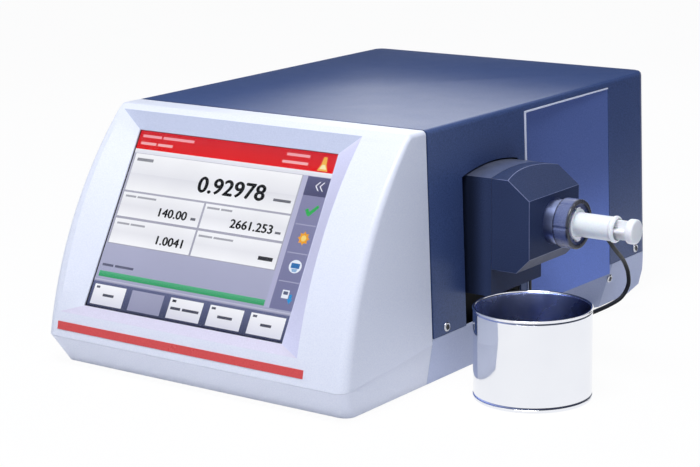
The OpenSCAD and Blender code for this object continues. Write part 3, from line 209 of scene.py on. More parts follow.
def build(name, parts, body, material, stands_for=(), sharp=40, merge=0.004, solid=0.0, bevel=None):
    """A piece from its patches, each its points in millimetres, its faces and, where it isn't the first,
    the number of its material. Points that meet within merge millimetres become one, faces turn
    outwards, and edges over the sharp angle stay crisp. Solid gives the skin a wall of that thickness
    inwards, and bevel eases edges over six tenths of the sharp angle."""
    points, faces, which, start = [], [], [], 0
    for p, f, *skin_number in parts:
        p = np.asarray(p, float).reshape(-1, 3)
        points.append(p)
        faces += [[v + start for v in face] for face in (f.tolist() if hasattr(f, "tolist") else f)]
        which += (skin_number or [0]) * len(f)
        start += len(p)
    mesh = bpy.data.meshes.new(name)
    mesh.from_pydata(metres(np.concatenate(points)), [], faces)
    mesh.polygons.foreach_set("material_index", which)
    shape = bmesh.new()
    shape.from_mesh(mesh)
    bmesh.ops.remove_doubles(shape, verts=shape.verts, dist=merge / 1000)
    bmesh.ops.dissolve_degenerate(shape, edges=shape.edges, dist=1e-7)
    bmesh.ops.recalc_face_normals(shape, faces=shape.faces)
    shape.to_mesh(mesh)
    shape.free()
    mesh.shade_smooth()
    mesh.set_sharp_from_angle(angle=math.radians(sharp))
    piece = placed(name, mesh)
    for skin in material if isinstance(material, list) else [material]:
        mesh.materials.append(skin)
    if solid:
        wall = piece.modifiers.new("wall", "SOLIDIFY")
        wall.thickness = solid / 1000
        wall.offset = -1
    if bevel:
        soften(piece, bevel, 3, sharp * 0.6)
    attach(piece, body)
    if stands_for:
        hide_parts(*stands_for)
    return piece


def smooth_line(points, sub):
    """Catmull-Rom line through the points, with sub steps from each point to the next: the cubic whose
    slope at a point is half the way from the point before it to the point after it."""
    p = np.asarray(points, float)
    p = np.concatenate([2 * p[:1] - p[1:2], p, 2 * p[-1:] - p[-2:-1]])
    a, b, c, d = (p[i:len(p) - 3 + i, None, :] for i in range(4))
    t = (np.arange(sub) / sub)[None, :, None]
    line = 0.5 * (2 * b + (c - a) * t + (2 * a - 5 * b + 4 * c - d) * t ** 2 + (3 * b - a - 3 * c + d) * t ** 3)
    return np.concatenate([line.reshape(-1, 3), p[-2:-1]])


def tube(line, radius, sides=20, lean=(0.52, 0.41, 0.75), closed=False):
    """Round section carried along a line: each ring is the line's point plus the radius times the cosine
    and sine of two directions square to the line there, the first square to a fixed lean as well.
    The radius is one number or one for each point. Open ends are closed by a flat face."""
    line = np.asarray(line, float)
    ahead_of = np.gradient(line, axis=0) if not closed else np.roll(line, -1, 0) - np.roll(line, 1, 0)
    ahead_of /= np.linalg.norm(ahead_of, axis=1)[:, None]
    u = np.cross(ahead_of, np.asarray(lean))
    u /= np.linalg.norm(u, axis=1)[:, None]
    v = np.cross(ahead_of, u)
    a = np.linspace(0, 2 * np.pi, sides, endpoint=False)
    r = np.broadcast_to(radius, len(line))[:, None, None]
    rings = line[:, None] + r * (np.cos(a)[None, :, None] * u[:, None] + np.sin(a)[None, :, None] * v[:, None])
    faces = quads(len(line), sides, closed, True).tolist()
    if not closed:
        last = (len(line) - 1) * sides
        faces += [list(range(sides)), list(range(last, last + sides))]
    return rings.reshape(-1, 3), faces


lead_route = [
    (200, 150, 118), (200, 164.3, 117.6), (200.3, 178.4, 116.2), (200.8, 192.4, 113.4), (201.1, 205.7, 108.5),
    (201.1, 218.1, 101.5), (200.5, 229.6, 93.1), (199.4, 240.6, 84.2), (197.6, 251.9, 75.8), (195.1, 263.8, 68.3),
    (191.8, 275.9, 61.8), (188.1, 288, 55.3), (185.1, 299.2, 47.2), (183.5, 308, 36.3), (182.1, 311, 23.5),
    (178.3, 304.9, 12.3), (171.7, 293.3, 6.2), (165.7, 279.4, 2.8), (164.1, 264.5, 2.1), (168.3, 250.4, 2.3),
    (176.2, 237.7, 3.8), (185.1, 225.8, 6.4), (192.4, 213.1, 10.1), (193.8, 199.6, 14.6), (185.4, 190.3, 17.9),
    (172, 190, 18)]
lead_skin = moulded("lead sheath", "101218", "1a1d26", (0.34, 0.5), 1500, 0.00002, dust_and_top_light=0.05, Specular_IOR_Level=0.15)
lead_line = smooth_line(lead_route, 6)
lead = build("lead_sheath", [tube(lead_line, 2.0, 20)], "instrument", lead_skin, ["connecting_lead"])


# the plug on its far end and the tapered gland at its near end are black moulded plastic with grips
def lathe(outline, origin, axis="x", sides=96, swell=None, closed=True):
    """Outline turned about an axis, a letter or a direction: each (along, out) pair of the outline gives a
    ring of radius out at the place along. Swell may change the radii as a function of along, out and
    the angle. A closed outline wraps round, an open one starts and ends on the axis."""
    outline = np.asarray(outline, float)
    along, out = outline[:, :1], outline[:, 1:]
    a = np.linspace(0, 2 * np.pi, sides, endpoint=False)[None, :]
    r = np.broadcast_to(out, (len(out), sides)) if swell is None else swell(along, out, a)
    here = np.broadcast_to(along, r.shape)
    w = np.asarray({"x": (1, 0, 0), "y": (0, 1, 0), "z": (0, 0, 1)}[axis] if isinstance(axis, str) else axis, float)
    u = np.roll(w, 1) if np.count_nonzero(w) == 1 else np.cross(w, (0, 1, 0))
    u = u / np.linalg.norm(u)
    points = here[..., None] * w + (r * np.cos(a))[..., None] * u + (r * np.sin(a))[..., None] * np.cross(w, u)
    return points.reshape(-1, 3) + np.asarray(origin, float), quads(len(outline), sides, closed, True)


def rounded(corners, radii, steps=5, closed=True):
    """Outline with eased corners: each corner is replaced by the parabola that leaves one side and
    joins the next at the corner's radius from it. A radius of 0 keeps the corner."""
    p = np.asarray(corners, float)
    radii = np.broadcast_to(radii, len(p)).astype(float)
    before, after = np.roll(p, 1, 0) - p, np.roll(p, -1, 0) - p
    lengths = np.linalg.norm(before, axis=1), np.linalg.norm(after, axis=1)
    a = p + before * (np.minimum(radii, lengths[0] * 0.49) / lengths[0])[:, None]
    b = p + after * (np.minimum(radii, lengths[1] * 0.49) / lengths[1])[:, None]
    t = np.linspace(0, 1, steps + 1)[None, :, None]
    arcs = (1 - t) ** 2 * a[:, None] + 2 * t * (1 - t) * p[:, None] + t ** 2 * b[:, None]
    if closed:
        return np.concatenate([arc if r > 0 else point[None] for arc, r, point in zip(arcs, radii, p)])
    middle = [arc if r > 0 else point[None] for arc, r, point in zip(arcs[1:-1], radii[1:-1], p[1:-1])]
    return np.concatenate([p[:1], *middle, p[-1:]])


black_plastic = moulded("black plastic", "141519", "202127", (0.32, 0.5), 1100, 0.00003, dust_and_top_light=0.15)


def gland_ribs(along, out, angle):
    """Strain relief ribs: the radius dips by 0.35 where the wave along the taper is low."""
    return out - 0.35 * (np.sin(along * 2.6) < -0.2) * ((along > 3.2) & (along < 8)) * np.ones_like(angle)


gland_edge = np.linspace(2.9, 8.2, 22)
gland_outline = np.concatenate([
    [[-4, 0], [-4, 3]], rounded([[0.3, 3], [0.3, 4.5], [2.5, 4.5], [2.7, 3.7]], [0, 0.6, 0.6, 0]),
    np.column_stack([gland_edge, 3.72 - (gland_edge - 2.9) * 0.22]), [[8.5, 2.5], [8.5, 0]]])
gland = build("lead_strain_relief", [lathe(gland_outline, (200, 141.5, 118), "y", 40, gland_ribs, False)],
              "instrument", black_plastic, ["lead_gland"])


def plug_grip(along, out, angle):
    """Grip of the plug: fourteen shallow flutes round the wide part, 0.3 deep."""
    return out - 0.3 * ((along > 147) & (along < 156)) * (np.cos(14 * angle) > 0.2)


plug_outline = np.concatenate([
    [[143.5, 0], [143.5, 3.5]],
    rounded([[151.5, 3.5], [151.5, 5], [163.5, 5], [163.5, 3], [172, 2.6], [172, 0]], [0, 0.6, 1.2, 0.4, 0.5, 0],
            closed=False)])
plug = build("lead_plug_body", [lathe(plug_outline, (0, 190, 18), "x", 56, plug_grip, False)],
             "instrument", black_plastic, ["lead_plug"])


# ---- front bezel ----
# One pale moulding in a satin finish: a curved front between rounded side edges, drafted sides that run
# back to the cover, and a deep bevelled recess that leads the eye to the screen.
def half_w(z):
    """Half the width of the drafted sides at a height: 160 at the lid, and 5 more over the cover's side."""
    return 160 + 5 * (body_h - z) / side_h


# heights of the lid and of the cover's side, then the front's arc: its two ends (y, z) and its bulge
body_h, side_h = 222.0, 179.2
front_a, front_c, bulge = np.array([-24.0, body_h]), np.array([-128.8, 27.5]), 17
chord = np.linalg.norm(front_a - front_c)
front_r = chord ** 2 / 8 / bulge + bulge / 2
inward = np.array([front_a[1] - front_c[1], front_c[0] - front_a[0]]) / chord
front_o = (front_a + front_c) / 2 + inward * (front_r - bulge)
ang_top, ang_low = (math.atan2(*(p - front_o)[::-1]) for p in (front_a, front_c))
# the picture's tilt, its middle and its width and height
tilt = math.radians(29.7)
screen_x, screen_y, screen_z = -15.5, -77.4, 129.6
glass_u, glass_v = 222.2, 166.7


def on_screen(u, v, n=0.0):
    """Point on the slanting screen: u to the right, v up the glass, n out of it."""
    u, v, n = np.broadcast_arrays(*(np.asarray(k, float) for k in (u, v, n)))
    return np.stack([screen_x + u, screen_y + v * math.sin(tilt) - n * math.cos(tilt),
                     screen_z + v * math.cos(tilt) + n * math.sin(tilt)], -1)


def front_shell():
    """The front's skin. Each row is a ball centre, a radius and a direction: the middle lies a radius out
    from the centre along that direction, the side edges turn a quarter circle from it towards the
    side, and the side faces run back from there to the cover. The recess rows and columns frame its hole."""
    above, below, left_of, right_of = 17, 9.3, 25, 19.5  # how far the hole reaches past the picture
    hole_a = [math.atan2(*(on_screen(0, v)[[2, 1]] - front_o[::-1]))
              for v in (glass_v / 2 + above, -glass_v / 2 - below)]
    hole_x = [screen_x - glass_u / 2 - left_of, screen_x + glass_u / 2 + right_of]
    hole_rows, hole_cols = 44, 20
    corner = np.radians(np.linspace(90, 133, 7))
    arc = np.concatenate([np.linspace(*hole_a, hole_rows + 1), np.linspace(hole_a[1], ang_low + 0.09, 14)[1:]])
    share = np.minimum(1, (arc - ang_top) / (ang_low - ang_top))
    ball = 4 + 6 * share
    centre = np.concatenate([[[-1.2, 218]], np.tile([-21.0, 218.0], (7, 1)),
                             front_o + (front_r - ball)[:, None] * np.column_stack([np.cos(arc), np.sin(arc)])])
    radius = np.concatenate([np.full(8, 4.0), ball])
    angle = np.concatenate([[np.pi / 2], corner, arc])
    rows = len(angle)
    half = half_w(centre[:, 1]) - radius
    turn = np.linspace(0, np.pi / 2, 10)
    x = np.column_stack([-half, np.tile(np.linspace(*hole_x, hole_cols + 1), (rows, 1)), half])
    out = np.stack([np.cos(angle), np.sin(angle)], -1)
    mid = np.stack([x, *np.broadcast_to((centre + radius[:, None] * out).T[:, :, None], (2, *x.shape))], -1)
    bend = [np.stack([s * (half[:, None] + radius[:, None] * np.sin(turn)[None, :]),
                      centre[:, 0, None] + radius[:, None] * np.cos(turn) * out[:, 0, None],
                      centre[:, 1, None] + radius[:, None] * np.cos(turn) * out[:, 1, None]], -1) for s in (-1, 1)]
    back_z = np.linspace(218, 30, rows)
    back = [np.stack([s * half_w(back_z), np.full(rows, -1.2), back_z], -1)[:, None, :] for s in (-1, 1)]
    halfway = [(0.5 * b[:, 0] + 0.5 * e[:, -1])[:, None, :] for b, e in zip(back, bend)]
    skin = np.concatenate([back[0], halfway[0], bend[0][:, :0:-1], mid, bend[1][:, 1:], halfway[1], back[1]], 1)
    cols = skin.shape[1]
    faces = quads(rows, cols)
    row, col = faces[:, 0] // cols, faces[:, 0] % cols
    top_row, first_col = 1 + len(corner), 2 + len(turn)
    hole = (row >= top_row) & (row < top_row + hole_rows) & (col >= first_col) & (col < first_col + hole_cols)
    edge = skin[top_row:top_row + hole_rows + 1, first_col:first_col + hole_cols + 1]
    return [(skin, faces[~hole]), *recess_sides(edge)]


def recess_sides(edge):
    """The four ruled bevels from the hole's edge down to the picture, the flat land round the picture and
    the lip down to the glass. Each ruled side joins two edges point by point with the same share along."""
    u, v = glass_u / 2, glass_v / 2
    su, sv = np.linspace(-1, 1, edge.shape[1]), np.linspace(1, -1, edge.shape[0])

    def frame_edge(grow, n):
        one = on_screen(su * (u + grow), v + grow, n), on_screen(su * (u + grow), -v - grow, n)
        two = on_screen(-u - grow, sv * (v + grow), n), on_screen(u + grow, sv * (v + grow), n)
        return [one[0], one[1], two[0], two[1]]

    outer = [edge[0], edge[-1], edge[:, 0], edge[:, -1]]
    rings = [outer, frame_edge(0.5, 0), frame_edge(0, 0), frame_edge(0, -1.2)]
    return [(np.stack([ring[k] for ring in rings]), quads(4, len(outer[k])), (1, 2, 0, 3)[k]) for k in range(4)]


pale = moulded("pale satin moulding", "e0e4f1", "eaedf6", (0.4, 0.52), 950, 0.000025)
# the recess above, below and to the right of the screen is painted darker as painted shade, and its crisp edges are
# painted paler as a painted highlight
recess_painted_shade = [moulded("painted shade on pale recess " + where, dark, light, (0.45, 0.58), 950, 0.000025) for where, dark, light in (
    ("top", "bac1d6", "c6cce0"), ("low", "d8d3e4", "e2ddee"), ("right", "cfcfe9", "dadaf2"))]
bezel = build("bezel_moulding", front_shell(), "instrument", [pale, *recess_painted_shade, moulded(
    "painted highlight on pale edge", "f4f6fd", "fbfcff", (0.3, 0.4), 950, 0.00001)], ["front_bezel"], sharp=24)
shape = bmesh.new()
shape.from_mesh(bezel.data)
# the seam over the skirt starts this high at the cover and falls this much over the bezel's depth
seam_z, seam_fall = 38.4, 10.9
bmesh.ops.bisect_plane(shape, geom=shape.verts[:] + shape.edges[:] + shape.faces[:], dist=1e-6,
                       plane_co=metres([0, 0, seam_z]), plane_no=(0, seam_fall / front_c[0], 1), clear_inner=True)
bmesh.ops.recalc_face_normals(shape, faces=shape.faces)
if sum(f.normal.z for f in shape.faces if f.calc_center_median().z > body_h / 1000 - 0.0005) < 0:
    bmesh.ops.reverse_faces(shape, faces=shape.faces)
shape.to_mesh(bezel.data)
shape.free()
bezel.data.set_sharp_from_angle(angle=math.radians(24))
wall = bezel.modifiers.new("wall", "SOLIDIFY")
wall.thickness, wall.offset = 0.0011, -1
# the bevels along the bezel's edges take the paler material, a painted highlight
soften(bezel, 0.9, 3, 15).material = 4


# ---- screen ----
# A lit picture behind a sheet of touch glass. It shows a red head bar, white fields with measured
# figures, a green progress bar, a column of small signs at the right and five keys below.
def sheet_points(x, y, depth):
    """Points of the picture, whose x runs 0 to 1110 to the right and y 0 to 833 down, depth under the rim."""
    u, v = np.asarray(x) * (glass_u / 1110), np.asarray(y) * (glass_v / 833)
    return on_screen(u - glass_u / 2, glass_v / 2 - v, depth)


def figures(text, x, y, tall):
    """Triangles of upright figures that end at x and stand on y, tall high: the outlines of the built-in
    typeface, filled, scaled by their own height and an eighth wider."""
    font = bpy.data.curves.new("figures", "FONT")
    font.body, font.offset, font.space_character = text, 0.0, 1.03
    holder = placed("figures", font)
    flat = bpy.data.meshes.new_from_object(holder.evaluated_get(bpy.context.evaluated_depsgraph_get()))
    flat_points = np.empty(len(flat.vertices) * 3)
    flat.vertices.foreach_get("co", flat_points)
    flat_points = flat_points.reshape(-1, 3)[:, :2]
    faces = [list(f.vertices) for f in flat.polygons]
    bpy.data.objects.remove(holder)
    bpy.data.curves.remove(font)
    bpy.data.meshes.remove(flat)
    low, high = flat_points.min(0), flat_points.max(0)
    scale = tall / (high[1] - low[1])
    return x + (flat_points[:, 0] - high[0]) * scale * 1.13, y - (flat_points[:, 1] - low[1]) * scale, faces


# every cell: left, top, right and bottom edge, its layer, and its colour at the top and at the bottom
picture_cells = [
    (0, 0, 1110, 833, 0, "c6c7dc", "9d9fbd"), (0, 0, 1110, 86, 1, "d2202c", "e60404"),
    (0, 86, 1110, 106, 1, "f4f4f9", "e4e4ee"), (4, 104, 956, 534, 1, "b4b4c2", "a4a4b4"),
    (12, 108, 950, 200, 2, "fcfcfe", "ececf1"), (12, 200, 950, 282, 2, "e6e6ec", "fbfbfd")]
for x0, x1, y0, fold_y, y1 in ((12, 479, 291, 350, 404), (490, 950, 291, 350, 404),
                               (12, 479, 415, 474, 530), (490, 950, 415, 474, 530)):
    picture_cells += [(x0, y0, x1, fold_y, 2, "f9f9fc", "ebebf0"), (x0, fold_y, x1, y1, 2, "ebebf0", "fafafd")]
picture_cells += [
    (16, 662, 952, 688, 2, "55b184", "2a9a5e"), (956, 106, 982, 692, 1, "bcbcd8", "b0b0d0"),
    (982, 108, 1108, 692, 1, "8a8aad", "74769c"), (982, 108, 1108, 192, 2, "5d5e82", "4b4c70"),
    (0, 712, 1110, 833, 1, "60668a", "363b58"), (0, 700, 1110, 712, 1, "c9c9dc", "8486a6"),
    (0, 822, 1110, 833, 2, "2c3048", "20243a")]
picture_cells += [(990, y, 1098, y + 4, 2, "a9aac6", "a9aac6") for y in (318, 443, 568)]
picture_cells += [(x, 724, x + 184, 816, 3, *(("a2a3be", "9496b2") if x == 236 else ("f8f8fc", "dcdce9")))
                  for x in (16, 236, 458, 680, 902)]
# short plain bars stand where a caption would be
picture_cells += [(x, y, x + w, y + h, 4, tone, tone) for tone, bars in {
    "8f9097": [(28, 128, 96, 14)], "6a6b74": [(838, 226, 94, 12), (430, 364, 28, 12), (898, 368, 30, 10)],
    "a7a8b0": [(28, 304, 62, 9), (98, 304, 110, 9), (502, 304, 70, 9), (580, 304, 62, 9),
               (28, 432, 72, 9), (108, 432, 84, 9), (502, 432, 76, 9), (586, 432, 108, 9)],
    "2b2c33": [(850, 482, 78, 17)], "5e6078": [(20, 628, 64, 11), (94, 628, 108, 11)],
    "f3a9ae": [(20, 18, 110, 12), (140, 18, 180, 12), (838, 18, 124, 12)],
    "f6b4b4": [(20, 52, 90, 12), (120, 52, 86, 12), (824, 52, 138, 12)],
    "4a4c5c": [(76, 764, 64, 12), (470, 764, 56, 12), (536, 764, 92, 12), (732, 764, 80, 12), (964, 764, 58, 12)],
    "565868": [(28, 732, 20, 10), (690, 732, 22, 10), (914, 732, 22, 10)], "33343f": [(470, 732, 22, 11)],
}.items() for x, y, w, h in bars]
star = np.linspace(0, 2 * np.pi, 17)[:-1]
star_r = np.where(np.arange(16) % 2, 21, 31)
disc_turn = np.linspace(0, 2 * np.pi, 25)[:-1]
# small signs, each an outline, its layer and its colours
picture_signs = [
    ([1050, 1032, 1050, 1056, 1038, 1056], [128, 148, 168, 168, 148, 128], 3, "f4f4fa"),
    ([1072, 1054, 1072, 1078, 1060, 1078], [128, 148, 168, 168, 148, 128], 3, "f4f4fa"),
    ([1016, 1030, 1040, 1076, 1084, 1044, 1034], [256, 246, 262, 228, 238, 282, 280], 3, "2fae54"),
    (1052 + star_r * np.cos(star), 378 + star_r * np.sin(star), 3, "f0a32c"),
    (1052 + 13 * np.cos(disc_turn), 378 + 13 * np.sin(disc_turn), 4, "f7d77a"),
    (1052 + 33 * np.cos(disc_turn), 502 + 29 * np.sin(disc_turn), 3, "e9eef8"),
    ([1030, 1074, 1074, 1030], [488, 488, 510, 510], 4, "2f6fae"),
    ([1036, 1068, 1062, 1042], [512, 512, 526, 526], 4, "8fb2d8"),
    ([1026, 1062, 1062, 1026], [606, 606, 642, 642], 3, "eceff8"),
    ([1032, 1056, 1056, 1032], [612, 612, 626, 626], 4, "59617e"),
    ([1066, 1080, 1080, 1088, 1073, 1058, 1066], [622, 622, 642, 642, 664, 642, 642], 4, "2b8fd0"),
    ([1016, 1070, 1056, 1052, 1034, 1030], [80, 80, 50, 18, 18, 50], 3, "f2b64a"),
    ([1026, 1062, 1050, 1036], [72, 72, 52, 52], 4, "fbe9b4")]
# every reading: its figures, where they end and stand, how tall and how heavy they are
readings = [("0.92978", 784, 245, 70, 3.6), ("140.00", 404, 381, 38, 2.2), ("2661.253", 880, 381, 38, 2.2),
            ("1.0041", 428, 506, 38, 2.2)]
picture_points, picture_faces, picture_tints = [], [], []


def lay(xs, ys, layer, codes, faces):
    """Adds points of the picture with their colours, and faces between them. The lowest layer lies 2.95
    under the rim, and each other 0.03 over the one below it."""
    start = len(picture_tints)
    picture_points.append(sheet_points(xs, ys, 0.03 * layer - 2.95))
    picture_faces.extend([v + start for v in face] for face in faces)
    picture_tints.extend(map(linear, codes))


for x0, y0, x1, y1, layer, top_tone, low_tone in picture_cells:
    lay([x0, x0, x1, x1], [y0, y1, y1, y0], layer, [top_tone, low_tone, low_tone, top_tone], [range(4)])
for xs, ys, layer, tone in picture_signs:
    lay(xs, ys, layer, [tone] * len(xs), [range(len(xs))[::-1]])
# the figures are made heavy by laying them down five times, moved by a share of their stroke
for text, x, y, tall, weight in readings:
    for right_by, down_by in ((0, 0), (-1, 0), (1, 0), (0, -0.6), (0, 0.6)):
        xs, ys, faces = figures(text, x + right_by * weight, y + down_by * weight, tall)
        lay(xs, ys, 5, ["0d0e12"] * len(xs), faces)
picture_mesh = bpy.data.meshes.new("screen_picture")
picture_mesh.from_pydata(metres(np.concatenate(picture_points)), [], picture_faces)
tints = picture_mesh.color_attributes.new("tint", "FLOAT_COLOR", "POINT")
tints.data.foreach_set("color", np.asarray(picture_tints, np.float32).ravel())
picture = placed("screen_picture", picture_mesh)
lit, tree, skin = plain("lit picture", Base_Color=(0.01, 0.01, 0.012, 1), Roughness=0.6, Specular_IOR_Level=0.0,
                        Emission_Strength=1.0)
hue = add(tree, "Attribute", attribute_name="tint")
# the lamp behind the picture is a little uneven
unevenness = add(tree, "TexNoise", {"Vector": add(tree, "TexCoord").outputs["Object"], "Scale": 14.0, "Detail": 2.0})
even = add(tree, "MapRange", {0: unevenness.outputs["Fac"], **noise_ends, 3: 0.94, 4: 1.0})
glow = add(tree, "VectorMath", {0: hue.outputs["Color"], 3: even.outputs[0]}, operation="SCALE")
tree.links.new(glow.outputs[0], skin.inputs["Emission Color"])
picture_mesh.materials.append(lit)
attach(picture, "instrument")

touch, tree, skin = plain("touch glass", Base_Color=(0.97, 0.98, 1.0, 1), Transmission_Weight=1.0, IOR=1.12)
# finger marks leave the glass a little rougher in places
prints = add(tree, "TexNoise", {"Vector": add(tree, "TexCoord").outputs["Object"], "Scale": 22.0, "Detail": 5.0})
smear = add(tree, "MapRange", {0: prints.outputs["Fac"], 1: 0.45, 2: 0.75, 3: 0.03, 4: 0.12})
tree.links.new(smear.outputs[0], skin.inputs["Roughness"])


def span(first, last):
    """Skin between two like rings of points, and the two faces that close it."""
    n = len(first)
    return np.concatenate([first, last]), quads(2, n, False, True).tolist() + [list(range(n)), list(range(n, 2 * n))]


glass_edge = 5  # how far the glass reaches past the picture
corners = np.array([(-1, -1), (1, -1), (1, 1), (-1, 1)]) * (glass_u / 2 + glass_edge, glass_v / 2 + glass_edge)
build("touch_sheet", [span(*(on_screen(*corners.T, n) for n in (-2.7, -1.2)))], "instrument", touch, ["touch_glass"],
      bevel=0.3)


# ---- skirt, tray and feet ----
# Two more mouldings of the same pale plastic close the housing below, on round rubber feet.
def eased(node, name, body, material, edge=0.5, angle=32, rim=None):
    """A merged copy of a solid's mesh with its flat faces joined up, smooth where it curves, and with
    every edge sharper than the angle rounded off by edge millimetres, in a material of its own where
    rim gives one."""
    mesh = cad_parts[node].data.copy()
    mesh.name = name
    shape = bmesh.new()
    shape.from_mesh(mesh)
    bmesh.ops.remove_doubles(shape, verts=shape.verts, dist=0.000012)
    bmesh.ops.dissolve_limit(shape, angle_limit=math.radians(0.6), verts=shape.verts, edges=shape.edges)
    shape.to_mesh(mesh)
    shape.free()
    mesh.shade_smooth()
    mesh.set_sharp_from_angle(angle=math.radians(angle))
    mesh.materials.clear()
    mesh.materials.append(material)
    piece = placed(name, mesh)
    if rim:
        mesh.materials.append(rim)
    if edge:
        soften(piece, edge, 2, angle).material = 1 if rim else -1
    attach(piece, body)
    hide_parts(node)
    return piece


eased("front_skirt", "skirt_moulding", "instrument", pale, 0.5)
# the tray is the same pale plastic, painted darker and bluer as painted shade on its side
pale_tray_painted_shade = moulded("pale satin tray, painted shade", "bcc5e2", "c9d1ea", (0.4, 0.52), 950, 0.000025)
eased("base_tray", "tray_moulding", "instrument", pale_tray_painted_shade, 0.6)
rubber = moulded("black rubber", "17181b", "26272b", (0.6, 0.8), 1400, 0.00006, dust_and_top_light=0.3)
eased("rubber_feet", "foot_pads", "instrument", rubber, 0.4)


# ---- accent strip ----
# A thin glossy red film runs across the front under the screen, left bare.
red = moulded("red film", "cf3d40", "da4a4a", (0.25, 0.35), 1200, 0.00001)
eased("accent_strip", "red_film", "instrument", red, 0)


# ---- top cover, side panel, rear panels ----
# Folded sheet with a fine powder coat in slate blue. A lighter panel slants into the right side.
powder = moulded("slate blue powder coat", "394a73", "4a5d8e", (0.31, 0.36), 900, 0.00007,
                 Specular_IOR_Level=0.35, Specular_Tint=(0.7, 0.84, 1.0, 1.0))
eased("top_cover", "cover_sheet", "instrument", powder, 0.5, 25)
eased("rear_panel", "rear_sheet", "instrument", powder, 0.3)
eased("io_plate", "connector_sheet", "instrument", powder, 0.3)
# the panel's blue is painted up to 1.85 times lighter towards its bottom, painted light from the floor below
panel_paint_lit_low = moulded("blue panel paint, painted light low down", "5367a2", "6074b2", (0.46, 0.54), 1000, 0.00002,
                      fade=(2, 0.222, 0.07, 0.165, 1.85), Specular_IOR_Level=0.2)
lean = math.atan(5 / side_h)


def on_side(a, y, c):
    """Point on the leaning right side: a out of the face, y to the rear, c up it from the cover's edge."""
    a, y, c = np.broadcast_arrays(*(np.asarray(k, float) for k in (a, y, c)))
    return np.stack([165 + a * math.cos(lean) - c * math.sin(lean), y,
                     body_h - side_h + a * math.sin(lean) + c * math.cos(lean)], -1)


def side_block(plan, low, high):
    """Block on the right side over a plan of (out, rear) corners, from low to high up the side."""
    a, y = np.transpose(plan)
    return span(on_side(a, y, low), on_side(a, y, high))


# the panel slants inwards to the rear, a fold joins it to the cover and a lip stands on the fold, painted near white
# as a painted highlight
panel_low, panel_high, lip_high = -9, 171, 172.4
build("niche_panel", [
    side_block([(-4.6, 155.7), (-0.3, 305.7), (-1.8, 305.7), (-6.1, 155.7)], panel_low, panel_high)],
      "instrument", panel_paint_lit_low, ["side_panel"], bevel=0.25)
# the lip's near white is a painted highlight along its edges
lip_painted_highlight = moulded("lip paint, painted highlight", "e4e9fb", "f1f4ff", (0.3, 0.4), 1200, 0.00001)
build("panel_fold", [
    side_block([(-0.6, 154.3), (-0.6, 155.7), (-6.1, 155.7), (-6.1, 154.3)], panel_low, panel_high),
    side_block([(-0.6, 154.3), (-6.1, 154.3), (-1.8, 305.7), (-0.6, 305.7)], panel_high, lip_high)],
      "instrument", panel_paint_lit_low, merge=0.0001)
build("panel_lip", [
    side_block([(1.2, 154.3), (1.2, 155.7), (-0.6, 155.7), (-0.6, 154.3)], panel_low, panel_high),
    side_block([(1.2, 154.3), (-0.6, 154.3), (-0.6, 305.7), (0.3, 305.7)], panel_high, lip_high)],
      "instrument", lip_painted_highlight, bevel=0.25, merge=0.0001)


# ---- filling attachment ----
# A dark painted casting: the flange drops down the slot, the hood over it carries the port.
slate = "2d3856", "3a4668", (0.34, 0.46), 1100, 0.00004
hood_paint = moulded("dark slate paint", *slate, Specular_IOR_Level=0.06)
# the flange is painted down to 0.3 times darker towards the cover's slot as painted shade, and its pale veil on
# up-facing faces is painted light from above
flange_painted_shade_and_light = moulded("dark slate flange, painted shade and light", *slate, dust_and_top_light=0.2, fade=(0, 0.1165, 0.004, 0.021, 0.3),
                       Specular_IOR_Level=0.06)
# the bevels along the casting's edges take a paler paint, a painted highlight that is painted darker away from where
# the edges catch the light
slate_edge_highlight = "56618a", "6e79a3", (0.3, 0.4), 1100, 0.00002
hood_edge_highlight = moulded("painted highlight on hood edges", *slate_edge_highlight, fade=(0, 0.1545, 0.028, 0.036, 0.35))
flange_edge_highlight = moulded("painted highlight on flange edges", *slate_edge_highlight, fade=(0, 0.0975, 0.012, 0.018, 0.35))
eased("attachment_flange", "flange_casting", "instrument", flange_painted_shade_and_light, 0.8, 25, flange_edge_highlight)
eased("attachment_hood", "hood_casting", "instrument", hood_paint, 0.7, 22, hood_edge_highlight)


# ---- port barrel, clamp ring and adapter ----
# A turned metal barrel, anodised dark, with a black ring that turns on its end and holds a white insert.
def turned_effect():
    """Turning marks. Height: noise at Pitch cells a metre along the first axis of Vector, drawn out
    twenty-five times across it. Tone: noise at thirty cells a metre, for uneven colour and gloss."""
    group, given, out = effect("turning marks", [("Vector", "Vector", None), ("Pitch", "Float", 3000.0)],
                               [("Height", "Float"), ("Tone", "Float")])
    stretch = add(group, "VectorMath", {0: given["Vector"], 1: (1.0, 0.04, 0.04)}, operation="MULTIPLY")
    lines = add(group, "TexNoise", {"Vector": stretch.outputs[0], "Scale": given["Pitch"], "Detail": 2.0})
    cloud = add(group, "TexNoise", {"Vector": given["Vector"], "Scale": 30.0, "Detail": 3.0})
    group.links.new(lines.outputs["Fac"], out["Height"])
    group.links.new(cloud.outputs["Fac"], out["Tone"])
    return group


turning = turned_effect()


def metal(name, dark, light, rough, pitch, depth, spin=(0, 0, 0), fade=None):
    """A machined or drawn metal: colour and roughness follow the slow tone, and fine lines square to
    the turned axis lift the normal by depth metres. Spin lays the lines along another axis, and a fade
    scales the colour."""
    material, tree, skin = plain(name, Metallic=1.0)
    place = add(tree, "Mapping", {0: add(tree, "TexCoord").outputs["Object"], 2: spin})
    marks = add(tree, "Group", node_tree=turning, values={"Vector": place.outputs[0], "Pitch": pitch}).outputs
    colour = add(tree, "Mix", {0: marks["Tone"], 6: linear(dark), 7: linear(light)}, data_type="RGBA").outputs[2]
    if fade:
        colour = faded(tree, colour, fade)
    dressed(tree, skin, colour, marks["Tone"], rough, marks["Height"], depth)
    return material


